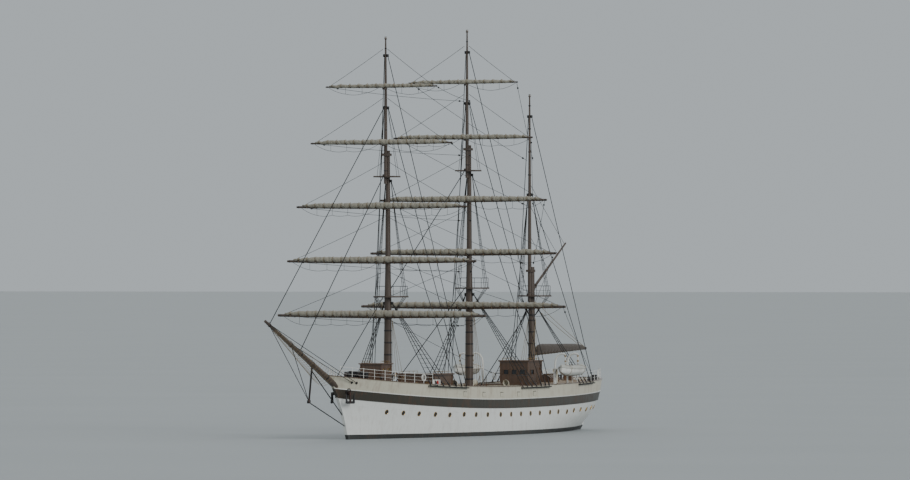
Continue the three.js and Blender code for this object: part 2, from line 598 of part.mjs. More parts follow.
const foil = (z, chord) => [
  [RUDDER_X + 0.2, 0, z],
  [RUDDER_X - 0.1, 0.15, z],
  [RUDDER_X - chord, 0.03, z],
  [RUDDER_X - chord, -0.03, z],
  [RUDDER_X - 0.1, -0.15, z],
];
const rudder = join(
  loft([foil(-4.18, 1.5), foil(-1.75, 1.7)]),
  rod([RUDDER_X, 0, HEEL_TOP + GAP], [RUDDER_X, 0, -4], 0.12),
  rod([RUDDER_X, 0, -2], [RUDDER_X, 0, STOCK.top], STOCK.radius),
);
addPiece("rudder", rudder, MATERIALS.antifouling);

const HELM = { x: -23.6, z: 5.95, ring: 0.55, reach: 0.76, shaft: 0.05 };
const stand = join(
  box([HELM.x - 0.3, HELM.x + 0.3], [-0.25, 0.25], [4.5, HELM.z + 0.15]),
  rod([HELM.x, 0, HELM.z], [HELM.x - 0.58, 0, HELM.z], HELM.shaft),
);
addPiece("helm_stand", seated(stand, poop), MATERIALS.varnish);
const rim = solid(new THREE.TorusGeometry(HELM.ring, 0.04, 6, 20).rotateY(Math.PI / 2));
const spokes = [0, 1, 2, 3].map((k) => {
  const turn = (Math.PI * k) / 4;
  const tip = [0, HELM.reach * Math.cos(turn), HELM.reach * Math.sin(turn)];
  return rod(tip, tip.map((v) => -v), 0.025, { sides: 6 });
});
const wheelHub = rod([-0.08, 0, 0], [0.15 - GAP, 0, 0], 0.12, { sides: 12 });
const wheelBore = bore([-1, 0, 0], [1, 0, 0], HELM.shaft);
const wheelGroup = new THREE.Group();
wheelGroup.position.set((HELM.x - 0.45) * MM, 0, HELM.z * MM);
ship.add(wheelGroup);
addPiece("helm_wheel", cut(join(rim, wheelHub, ...spokes), wheelBore), MATERIALS.varnish, wheelGroup);

// A hinged door in a wall, drawn with its hinge along Z: the door runs along +X and the outside is +Y.
const DOOR = { width: 0.8, height: 1.75, thickness: 0.08, axisOut: 0.04, knuckle: 0.035, sill: 0.12 };
const CLEAR = 2 * PLAY;

function doorParts() {
  const { width, height, thickness, axisOut, knuckle } = DOOR;
  const leaf = [-axisOut - thickness, -axisOut];
  const opening = box([0, width + CLEAR], [leaf[0] - 0.1, 0], [-CLEAR, height + CLEAR]);
  const door = [box([CLEAR, width], leaf, [0, height])];
  const fixed = [];
  for (const z of [0.25, height - 0.45]) {
    fixed.push(rod([0, 0, z], [0, 0, z + 0.1], knuckle), box([-0.12, 0], [-axisOut - 0.01, 0], [z, z + 0.1]));
    const [low, high] = [z + 0.1 + GAP, z + 0.2];
    door.push(rod([0, 0, low], [0, 0, high], knuckle), box([0, 0.12], [-axisOut - 0.01, 0], [low, high]));
  }
  return { opening, door: join(...door), fixed: join(...fixed) };
}

// Places a hinged part: along runs from the hinge over the door, out points outside.
function hung(body, [x, y, z], along, out) {
  const basis = new THREE.Matrix4().makeBasis(along, out, new THREE.Vector3(0, 0, 1));
  basis.setPosition(x * MM, y * MM, z * MM);
  return body.transform(basis.elements);
}

// A deckhouse with its walls, its roof and its windows cut, standing on a deck.
const EAVES = 0.15;
function deckhouse({ x, half, top, wall }, windows, deck) {
  const shell = box(x, [-half, half], [3, top]);
  const roof = box([x[0] - EAVES, x[1] + EAVES], [-half - EAVES, half + EAVES], [top - 0.02, top + 0.1]);
  const room = box([x[0] + wall, x[1] - wall], [-half + wall, half - wall], [2.9, top - wall]);
  const body = cut(join(cut(shell, room), roof), ...windows);
  return seated(body, deck);
}

const AFT = new THREE.Vector3(-1, 0, 0);
const FORWARD = new THREE.Vector3(1, 0, 0);
const TO_PORT = new THREE.Vector3(0, 1, 0);
const TO_STARBOARD = new THREE.Vector3(0, -1, 0);
const { opening, door, fixed } = doorParts();

// Fore deckhouse, on the main deck, with a door aft
const FORE_HOUSE = { x: [8.5, 12.6], half: 1.9, top: 5.95, wall: 0.08 };
const foreDoor = [[FORE_HOUSE.x[0] - DOOR.axisOut, -0.4, mainDeckTop(8.5) + DOOR.sill], TO_PORT, AFT];
const foreHouse = cut(deckhouse(FORE_HOUSE, [], mainDeck), hung(opening, ...foreDoor));
addPiece("fore_house", join(foreHouse, hung(fixed, ...foreDoor)), MATERIALS.varnish);
addPiece("fore_house_door", hung(door, ...foreDoor), MATERIALS.varnish);

// Chart house, on the poop before the mizzen mast, with windows and a door on each side
const CHART_HOUSE = { x: [-13.3, -10.1], half: 1.5, top: 7.0, wall: 0.08 };
const WINDOW = { sill: raisedDeckTop(-11.7) + 0.95, height: 0.5, half: 0.3 };
const windowZ = [WINDOW.sill, WINDOW.sill + WINDOW.height];
const windows = [
  ...[-0.9, 0, 0.9].map((y) => box([-10.3, -10], [y - WINDOW.half, y + WINDOW.half], windowZ)),
  box([-11.5, -10.8], [-1.6, 1.6], windowZ),
];
let chartHouse = deckhouse(CHART_HOUSE, windows, poop);
const doorHeight = raisedDeckTop(-12.5) + DOOR.sill - CAMBER / 4;
const chartDoors = Object.entries({ port: TO_PORT, starboard: TO_STARBOARD }).map(([name, out]) => {
  const y = (CHART_HOUSE.half + DOOR.axisOut) * SIDES[name];
  return { name, place: [[-12.95, y, doorHeight], FORWARD, out] };
});
for (const { name, place } of chartDoors) {
  chartHouse = join(cut(chartHouse, hung(opening, ...place)), hung(fixed, ...place));
  addPiece(`chart_house_door_${name}`, hung(door, ...place), MATERIALS.varnish);
}
addPiece("chart_house", chartHouse, MATERIALS.varnish);

// Companion on the forecastle, before the foremast
const companion = join(
  box([20.6, 22.7], [-1.1, 1.1], [4.5, 7.05]),
  box([20.5, 22.85], [-1.2, 1.2], [7.04, 7.16]),
);
addPiece("companion", seated(companion, forecastle), MATERIALS.varnish);

// Hatch with its hinged lid, on the main deck
const HATCH = { x: [3.6, 6.2], half: 1.2, top: 4.3, wall: 0.12, lid: 0.09, knuckle: 0.035 };
const HATCH_HINGE = { x: HATCH.x[1] + 0.06, z: HATCH.top + 0.03, ears: [-0.8, 0.7] };
const [hatchAft, hatchFore] = HATCH.x;
const inside = HATCH.half - HATCH.wall;
const coaming = cut(
  box(HATCH.x, [-HATCH.half, HATCH.half], [3, HATCH.top]),
  box([hatchAft + HATCH.wall, hatchFore - HATCH.wall], [-inside, inside], [2.9, HATCH.top + 1]),
);
const lidHalf = HATCH.half + 0.03;
const lid = box([hatchAft - 0.03, hatchFore], [-lidHalf, lidHalf], [HATCH.top + GAP, HATCH.top + HATCH.lid]);
const hatchEar = (y, z) => {
  const { x, z: axisZ } = HATCH_HINGE;
  return join(rod([x, y[0], axisZ], [x, y[1], axisZ], HATCH.knuckle), box([hatchFore - 0.02, x], y, z));
};
const coamingEars = HATCH_HINGE.ears.map((y) => hatchEar([y, y + 0.1], [HATCH.top - 0.12, HATCH.top]));
const lidEarZ = [HATCH.top + 0.01, HATCH.top + 0.06];
const lidEars = HATCH_HINGE.ears.map((y) => hatchEar([y + 0.1 + GAP, y + 0.2], lidEarZ));
addPiece("mid_hatch", seated(join(coaming, ...coamingEars), mainDeck), MATERIALS.varnish);
addPiece("mid_hatch_lid", join(lid, ...lidEars), MATERIALS.varnish);

// Boats under their covers, hung in davits beside the chart house
const BOAT = { x: -11.2, y: 5.75, keel: 5.65, top: 6.6, half: 0.85, length: 5 };
const DAVITS = { x: [-9.7, -12.7], y: 4.62, head: 7.75, radius: 0.09 };
const FALLS = { half: 0.06, eyeHalf: 0.05, eye: [6.2, 6.85] };

// One section of a boat, s from -1 at its stern to 1 at its stem.
function boatSection(s, side) {
  const half = BOAT.half * (1 - s ** 4 * 0.8) * (s < 0 ? 1 : 1 - 0.5 * s ** 3);
  const keel = BOAT.keel + 0.35 * s ** 4;
  const sheer = BOAT.top - 0.2 + 0.15 * s * s;
  const section = [[0, keel], [0.75, keel + 0.2], [1, sheer], [0.5, sheer + 0.14], [0, sheer + 0.2]];
  const mirrored = section.slice(1, -1).toReversed().map(([t, z]) => [-t, z]);
  const x = BOAT.x + (s * BOAT.length) / 2;
  return [...section, ...mirrored].map(([t, z]) => [x, side * (BOAT.y + t * half), z]);
}

for (const [name, side] of Object.entries(SIDES)) {
  const boat = loft(Array.from({ length: 9 }, (_, i) => boatSection(i / 4 - 1, side)));
  const head = side * BOAT.y;
  const upright = (x, half, z) => box([x - half, x + half], [head - half, head + half], z);
  const eyes = DAVITS.x.map((x) => upright(x, FALLS.eyeHalf, FALLS.eye));
  addPiece(`boat_${name}`, join(boat, ...eyes), MATERIALS.white);

  const root = side * DAVITS.y;
  const arms = DAVITS.x.map((x) => {
    const straight = [[x, root, 4.4], [x, root, 6.4]];
    const bend = [[x, root + side * 0.12, 7.35], [x, root + side * 0.6, 7.8], [x, head, 7.72]];
    const falls = upright(x, FALLS.half, [FALLS.eye[1] + GAP, DAVITS.head]);
    return join(tube([...straight, ...bend], DAVITS.radius), falls);
  });
  const spreader = rod([DAVITS.x[0], root, 6.3], [DAVITS.x[1], root, 6.3], 0.06);
  addPiece(`davits_${name}`, seated(join(...arms, spreader), poop), MATERIALS.white);
}

// Windlass on the forecastle
const WINDLASS = { x: 26, half: 1.15, above: 0.55, drum: 0.3, neck: 0.22, cheeks: [-0.55, 0, 0.55] };
const barrelZ = raisedDeckTop(WINDLASS.x) + WINDLASS.above;
const { x: windlassX, half: windlassHalf, drum, neck } = WINDLASS;
const barrel = lyingSpar([[drum, windlassHalf], [neck, 0.95], [neck, 0.6], [drum, 0.5]], 12);
const cheekX = [windlassX - 0.4, windlassX + 0.4];
const windlass = join(
  moved(barrel, windlassX, 0, barrelZ),
  ...WINDLASS.cheeks.map((y) => box(cheekX, [y - 0.08, y + 0.08], [4.5, barrelZ + 0.35])),
  box([windlassX - 0.55, windlassX + 0.55], [-0.8, 0.8], [4.5, barrelZ - 0.42]),
);
addPiece("windlass", seated(windlass, forecastle), MATERIALS.iron);

// Anchors, stowed in their hawse pipes on the bows
const ANCHOR = { x: 29.2, drop: 0.55 };
const fluke = { endRadius: 0.03, sides: 6 };
for (const [name, side] of Object.entries(SIDES)) {
  const [x, y, z] = offsetOutline(LEVELS.bandTop, ANCHOR.x, 0);
  const [outX, outY] = offsetOutline(LEVELS.bandTop, ANCHOR.x, 1);
  const normal = [outX - x, outY - y];
  const at = (out, aft, up) => [
    x + normal[0] * out - normal[1] * aft,
    side * (y + normal[1] * out + normal[0] * aft),
    z - ANCHOR.drop + up,
  ];
  const anchor = join(
    rod(at(-0.3, 0, 0.35), at(0.22, 0, 0.1), 0.16),
    rod(at(0.2, 0, 0.3), at(0.2, 0, -0.7), 0.11),
    rod(at(0.2, -0.5, -0.65), at(0.2, 0.5, -0.65), 0.12, { sides: 6 }),
    ...[-0.45, 0.45].map((aft) => rod(at(0.2, aft, -0.65), at(0.16, aft * 1.15, 0.2), 0.13, fluke)),
  );
  const [dx, dy] = [normal[0] * GAP, side * normal[1] * GAP];
  const skins = [topsides, band, bulwarks[name]].flatMap((skin) => [skin, moved(skin, dx, dy, 0)]);
  addPiece(`anchor_${name}`, largest(cut(anchor, ...skins)), MATERIALS.iron);
}

export default ship;
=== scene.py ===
"""A three-masted barque afloat with her sails furled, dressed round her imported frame.

Sizes are metres of the real ship and meshes are made at SCALE.
X runs forward, Y to port and Z up from the water amidships.
"""

from __future__ import annotations

import json
import logging
import math
from collections.abc import Iterable, Sequence
from dataclasses import dataclass
from enum import Enum
from functools import cache

import bmesh
import bpy
import numpy as np
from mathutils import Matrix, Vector

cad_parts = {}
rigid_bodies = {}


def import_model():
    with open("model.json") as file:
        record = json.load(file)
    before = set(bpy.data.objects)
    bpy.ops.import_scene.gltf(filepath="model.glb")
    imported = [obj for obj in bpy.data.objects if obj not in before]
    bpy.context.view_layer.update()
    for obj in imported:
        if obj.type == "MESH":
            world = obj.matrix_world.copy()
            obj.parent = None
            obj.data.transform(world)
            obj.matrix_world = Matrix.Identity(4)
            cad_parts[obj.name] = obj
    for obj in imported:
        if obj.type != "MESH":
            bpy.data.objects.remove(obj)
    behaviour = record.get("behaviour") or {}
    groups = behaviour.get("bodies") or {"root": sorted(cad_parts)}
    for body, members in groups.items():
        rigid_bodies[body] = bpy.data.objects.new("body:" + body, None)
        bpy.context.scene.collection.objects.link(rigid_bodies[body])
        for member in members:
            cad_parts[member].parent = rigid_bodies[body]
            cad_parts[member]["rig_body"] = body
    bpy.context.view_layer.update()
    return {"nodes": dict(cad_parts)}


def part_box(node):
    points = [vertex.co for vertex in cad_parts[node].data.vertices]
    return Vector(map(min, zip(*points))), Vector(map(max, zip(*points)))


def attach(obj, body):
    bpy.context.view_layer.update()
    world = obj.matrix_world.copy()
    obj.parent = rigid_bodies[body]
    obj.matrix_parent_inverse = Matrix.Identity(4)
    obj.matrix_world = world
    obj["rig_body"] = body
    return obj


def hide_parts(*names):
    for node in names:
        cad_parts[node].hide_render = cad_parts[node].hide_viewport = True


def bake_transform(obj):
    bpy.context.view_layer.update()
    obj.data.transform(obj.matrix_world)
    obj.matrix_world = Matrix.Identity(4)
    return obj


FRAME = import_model()
SCALE = 0.5
UP = (0, 0, 1)
LOG = logging.getLogger("barque")

Color = tuple[float, float, float]
Point = Sequence[float]


class Side(Enum):
    """The two sides of the ship, as the sign of Y."""

    PORT = 1
    STARBOARD = -1

    @property
    def label(self) -> str:
        """Returns the side's name as it stands in the pieces' names."""
        return self.name.lower()


class Pattern(Enum):
    """What a surface is made up of."""

    PLAIN = "plain"
    PLATES = "plates"
    PLANKS = "planks"
    BOARDS = "boards"
    CLOTH = "cloth"
    LAID = "laid"


# Materials


class Graph:
    """A material's node tree with short calls for adding and linking nodes."""

    def __init__(self, name: str) -> None:
        """Makes an empty node material of that name.

        Args:
            name: the material's name.
        """
        self.material = bpy.data.materials.new(name)
        self.material.use_nodes = True
        self.tree = self.material.node_tree
        self.tree.nodes.clear()

    def add(self, kind: str, values: dict | None = None, **options: object) -> bpy.types.Node:
        """Adds a node.

        Args:
            kind: node type without its "ShaderNode" prefix.
            values: input socket to a value or to the socket that feeds it.
            options: properties of the node itself.

        Returns:
            The new node.
        """
        node = self.tree.nodes.new("ShaderNode" + kind)
        for name, value in options.items():
            setattr(node, name, value)
        for socket, value in (values or {}).items():
            if isinstance(value, bpy.types.NodeSocket):
                self.tree.links.new(value, node.inputs[socket])
            else:
                node.inputs[socket].default_value = value
        return node

    def math(self, operation: str, a: object, b: object = 0.0) -> bpy.types.NodeSocket:
        """Returns the result of a math node."""
        return self.add("Math", {0: a, 1: b}, operation=operation).outputs[0]

    def noise(self, vector: bpy.types.NodeSocket, scale: float, detail: float = 4.0) -> bpy.types.NodeSocket:
        """Returns the value of a noise texture."""
        return self.add("TexNoise", {"Vector": vector, "Scale": scale, "Detail": detail}).outputs[0]

    def stretched(self, vector: bpy.types.NodeSocket, scale: Point) -> bpy.types.NodeSocket:
        """Returns a vector scaled along its axes."""
        return self.add("Mapping", {"Vector": vector, "Scale": scale}).outputs[0]

    def mix(self, factor: object, a: object, b: object, mode: str = "MIX") -> bpy.types.NodeSocket:
        """Returns a mix of two colours."""
        return self.add("Mix", {0: factor, 6: a, 7: b}, data_type="RGBA", blend_type=mode).outputs[2]


def opaque(color: Color, share: float = 1.0) -> tuple[float, float, float, float]:
    """Returns a colour times a share, with alpha."""
    return (color[0] * share, color[1] * share, color[2] * share, 1.0)


@dataclass(frozen=True)
class Finish:
    """Colour and surface of one material.

    Attributes:
        slot: the record's material slot.
        color: base colour, linear.
        roughness: surface roughness.
        metallic: 1 for bare metal.
        pattern: what the surface is made up of.
        variation: share by which the colour varies.
        bump: depth of the surface's relief, in metres.
        coat: strength of a varnish coat.
        sheen: strength of a cloth sheen.
        stain: colour of the dirt or rust that runs down it.
        stained: how much of it is stained.
    """

    slot: str
    color: Color
    roughness: float
    metallic: float = 0.0
    pattern: Pattern = Pattern.PLAIN
    variation: float = 0.12
    bump: float = 0.001
    coat: float = 0.0
    sheen: float = 0.0
    stain: Color = (0.09, 0.06, 0.04)
    stained: float = 0.15

    @cache
    def material(self, name: str) -> bpy.types.Material:
        """Returns the node material of that name for this finish.

        Args:
            name: the material's name.

        Returns:
            The material.
        """
        graph = Graph(name)
        where = graph.add("TexCoord")
        place = where.outputs["Object"]
        cloudy = graph.noise(place, 0.7)
        dark, light = (opaque(self.color, 1 + way * self.variation) for way in (-1, 1))
        shades = graph.mix(cloudy, dark, light)
        shades, height = self._patterned(graph, where, shades)
        runs = graph.noise(graph.stretched(place, (5.0, 5.0, 0.35)), 1.6, 6.0)
        spots = graph.noise(place, 2.3, 6.0)
        dirt = graph.math("MULTIPLY", runs, spots)
        dirt = graph.add("MapRange", {"Value": dirt, 1: 0.24, 2: 0.5, 3: 0.0, 4: self.stained * 2}).outputs[0]
        shades = graph.mix(dirt, shades, opaque(self.stain))
        fine = graph.noise(place, 90.0, 3.0)
        height = graph.math("ADD", height, graph.math("MULTIPLY", fine, 0.12))
        relief = graph.add("Bump", {"Height": height, "Distance": self.bump, "Strength": 1.0})
        spread = {"Value": spots, 1: 0.3, 2: 0.7, 3: self.roughness * 0.85, 4: self.roughness * 1.15}
        rough = graph.add("MapRange", spread)
        values = {
            "Base Color": shades,
            "Roughness": rough.outputs[0],
            "Metallic": self.metallic,
            "Normal": relief.outputs[0],
            "Coat Weight": self.coat,
            "Coat Roughness": 0.12,
            "Sheen Weight": self.sheen,
            "Sheen Roughness": 0.5,
        }
        shader = graph.add("BsdfPrincipled", values)
        graph.add("OutputMaterial", {"Surface": shader.outputs[0]})
        return graph.material

    def _patterned(self, graph: Graph, where: object, shades: object) -> tuple[object, object]:
        """Returns the colour and the height with the pattern worked in.

        Args:
            graph: the material's nodes.
            where: texture coordinates.
            shades: the plain colour.

        Returns:
            The colour and the height.
        """
        place, flat = where.outputs["Object"], where.outputs["UV"]
        if self.pattern is Pattern.PLAIN:
            return shades, graph.noise(place, 9.0)
        if self.pattern is Pattern.LAID:
            turns = graph.stretched(flat, (60.0, 40.0, 1.0))
            strands = {"Vector": turns, "Scale": 1.0}
            wave = graph.add("TexWave", strands, bands_direction="DIAGONAL").outputs[1]
            # Painted shade: the colour is darker in the grooves between the strands.
            return graph.mix(wave, graph.mix(0.45, shades, opaque(self.color, 0.3)), shades), wave
        if self.pattern is Pattern.CLOTH:
            return self._cloth(graph, flat, shades)
        vector, width, row, seam = {
            Pattern.PLATES: (flat, 4.6, 1.15, 0.012),
            Pattern.PLANKS: (place, 3.0, 0.07, 0.0035),
            Pattern.BOARDS: (self._boarded(graph, place, where.outputs["Normal"]), 3.0, 0.06, 0.002),
        }[self.pattern]
        tones = (1.0, 1.0) if self.pattern is Pattern.PLATES else (1.22, 0.8)
        brick = graph.add(
            "TexBrick",
            {
                "Vector": vector,
                "Scale": 1.0,
                "Brick Width": width,
                "Row Height": row,
                "Mortar Size": seam,
                "Mortar Smooth": 0.15,
                "Color1": opaque((tones[0],) * 3),
                "Color2": opaque((tones[1],) * 3),
                "Mortar": opaque((0.86,) * 3 if self.pattern is Pattern.PLATES else (0.16,) * 3),
            },
        )
        shades = graph.mix(1.0, shades, brick.outputs[0], "MULTIPLY")
        height = graph.math("SUBTRACT", 1.0, brick.outputs[1])
        if self.pattern is Pattern.PLATES:
            dents = graph.noise(graph.stretched(flat, (0.9, 1.6, 1.0)), 1.0, 2.0)
            seams, dents = graph.math("MULTIPLY", height, 0.5), graph.math("MULTIPLY", dents, 3.0)
            return shades, graph.math("ADD", seams, dents)
        grain = graph.noise(graph.stretched(vector, (3.0, 90.0, 90.0)), 1.0, 5.0)
        return graph.mix(graph.math("MULTIPLY", grain, 0.35), shades, opaque(self.color, 0.45)), height

    def _boarded(self, graph: Graph, place: object, normal: object) -> object:
        """Returns a vector whose rows are upright boards on any wall, and planks along X on a roof.

        Args:
            graph: the material's nodes.
            place: the point's place.
            normal: the surface's normal.

        Returns:
            The vector for a brick texture.
        """
        x, y, z = graph.add("SeparateXYZ", {0: place}).outputs
        upward = graph.math("ABSOLUTE", graph.add("SeparateXYZ", {0: normal}).outputs[2])
        roof = graph.math("GREATER_THAN", upward, 0.7)
        wall = graph.math("SUBTRACT", 1.0, roof)
        run = graph.math("ADD", graph.math("MULTIPLY", z, wall), graph.math("MULTIPLY", x, roof))
        row = graph.math("ADD", graph.math("MULTIPLY", x, wall), y)
        return graph.add("CombineXYZ", {0: run, 1: row}).outputs[0]

    def _cloth(self, graph: Graph, flat: object, shades: object) -> tuple[object, object]:
        """Returns the colour and height of woven cloth with its seams, and painted shade in its creases.

        Args:
            graph: the material's nodes.
            flat: the point's place on the flat cloth.
            shades: the plain colour.

        Returns:
            The colour and the height.
        """
        warp, weft = (
            graph.add("TexWave", {"Vector": flat, "Scale": 55.0}, bands_direction=axis).outputs[1]
            for axis in "XY"
        )
        weave = graph.math("MULTIPLY", graph.math("ADD", warp, weft), 0.08)
        seams = graph.add(
            "TexBrick",
            {"Vector": flat, "Scale": 1.0, "Brick Width": 0.62, "Row Height": 90.0, "Mortar Size": 0.012},
            offset=0.0,
        ).outputs[1]
        creases = graph.noise(graph.stretched(flat, (1.4, 7.0, 1.0)), 1.5, 6.0)
        # Painted shade: the cloth's colour is darker where its creases fold in.
        shades = graph.mix(graph.math("MULTIPLY", creases, 0.25), shades, opaque(self.color, 0.55))
        shades = graph.mix(graph.math("MULTIPLY", seams, 0.35), shades, opaque(self.color, 0.5))
        woven, sewn = graph.math("ADD", weave, creases), graph.math("MULTIPLY", seams, 0.3)
        return shades, graph.math("ADD", woven, sewn)


RUST = (0.16, 0.06, 0.025)
FINISHES = {
    "white": Finish(
        "white_paint", (0.66, 0.67, 0.64), 0.36, 0, Pattern.PLATES, 0.03, 0.004, stain=RUST, stained=0.1
    ),
    "band": Finish(
        "band_paint", (0.04, 0.036, 0.027), 0.42, 0, Pattern.PLATES, 0.08, 0.003, stain=RUST, stained=0.2
    ),
    "cream": Finish(
        "cream_paint", (0.5, 0.475, 0.38), 0.45, 0, Pattern.PLATES, 0.04, 0.002, stain=RUST, stained=0.2
    ),
    "antifouling": Finish(
        "antifouling", (0.13, 0.03, 0.022), 0.75, 0, Pattern.PLATES, 0.2, 0.004, stained=0.3
    ),
    "boot": Finish("antifouling", (0.035, 0.037, 0.035), 0.55, 0, Pattern.PLATES, 0.2, 0.003, stained=0.3),
    "trim": Finish("white_paint", (0.62, 0.62, 0.58), 0.4, stain=RUST, stained=0.15, bump=0.0006),
    "teak": Finish("deck_teak", (0.3, 0.215, 0.13), 0.7, 0, Pattern.PLANKS, 0.15, 0.002),
    "house": Finish("varnished_wood", (0.085, 0.043, 0.02), 0.38, 0, Pattern.BOARDS, 0.15, 0.0015, coat=0.35),
    "varnish": Finish("varnished_wood", (0.1, 0.048, 0.02), 0.35, 0, Pattern.BOARDS, 0.15, 0.0008, coat=0.4),
    "spar": Finish("spar_paint", (0.062, 0.043, 0.031), 0.42, bump=0.001, stained=0.2),
    "sail": Finish(
        "sailcloth", (0.28, 0.26, 0.205), 0.85, 0, Pattern.CLOTH, 0.07, 0.006, sheen=0.25, stained=0.12
    ),
    "cover": Finish(
        "sail_cover", (0.06, 0.046, 0.035), 0.85, 0, Pattern.CLOTH, 0.12, 0.006, sheen=0.2, stained=0.1
    ),
    "awning": Finish(
        "sailcloth", (0.42, 0.42, 0.38), 0.8, 0, Pattern.CLOTH, 0.07, 0.004, sheen=0.2, stained=0.12
    ),
    "iron": Finish("black_iron", (0.014, 0.014, 0.015), 0.5, 0.2, stain=RUST, stained=0.2, bump=0.0015),
    "wire": Finish("rigging_wire", (0.02, 0.019, 0.018), 0.55, 0.3, Pattern.LAID, stained=0.05),
    "rope": Finish("rope", (0.3, 0.225, 0.13), 0.85, 0, Pattern.LAID, 0.15, 0.002, stained=0.1),
    "brass": Finish("bronze", (0.45, 0.28, 0.09), 0.28, 1.0, stain=(0.1, 0.09, 0.04), bump=0.0004),
    "bronze": Finish("bronze", (0.32, 0.19, 0.08), 0.35, 1.0, stain=(0.05, 0.09, 0.06), bump=0.001),
    "glass": Finish("window_glass", (0.02, 0.024, 0.028), 0.06, stained=0.03, bump=0.0002),
    "red": Finish("band_paint", (0.35, 0.02, 0.015), 0.3),
    "green": Finish("band_paint", (0.01, 0.2, 0.06), 0.3),
}


def paint(name: str) -> bpy.types.Material:
    """Returns the material of a named finish."""
    return FINISHES[name].material(name)


# Meshes


def round_turn(count: int) -> np.ndarray:
    """Returns that many angles, evenly round a circle."""
    return np.linspace(0, math.tau, count, endpoint=False)


def frames(path: np.ndarray, loop: bool = False) -> tuple[np.ndarray, np.ndarray]:
    """Returns two directions across a path at each of its points, without twist.

    Args:
        path: the path's points.
        loop: whether its end joins its start.

    Returns:
        The two directions, each as a row for each point.
    """
    ahead = np.roll(path, -1, 0) - np.roll(path, 1, 0) if loop else np.gradient(path, axis=0)
    ahead /= np.maximum(np.linalg.norm(ahead, axis=1, keepdims=True), 1e-9)
    first = np.cross(ahead[0], (0.0, 0.0, 1.0) if abs(ahead[0][2]) < 0.9 else (1.0, 0.0, 0.0))
    across = []
    for direction in ahead:
        first = first - direction * (first @ direction)
        first = first / np.linalg.norm(first)
        across.append(first)
    across = np.array(across)
    return across, np.cross(ahead, across)


def unit_circle(across: np.ndarray, up: np.ndarray, sides: int) -> np.ndarray:
    """Returns points on a circle of radius 1 that lies along two directions, or along each pair of them."""
    turn = round_turn(sides)[:, None]
    return np.cos(turn) * across[..., None, :] + np.sin(turn) * up[..., None, :]


def circle_round(axis: Point, sides: int) -> tuple[np.ndarray, np.ndarray]:
    """Returns an axis at length 1 and points on a circle of radius 1 round it.

    Args:
        axis: the axis's direction.
        sides: the number of points.

    Returns:
        The axis and the points.
    """
    axis = np.asarray(axis, float) / np.linalg.norm(axis)
    across, up = (f[0] for f in frames(np.array([axis * 0, axis])))
    return axis, unit_circle(across, up, sides)


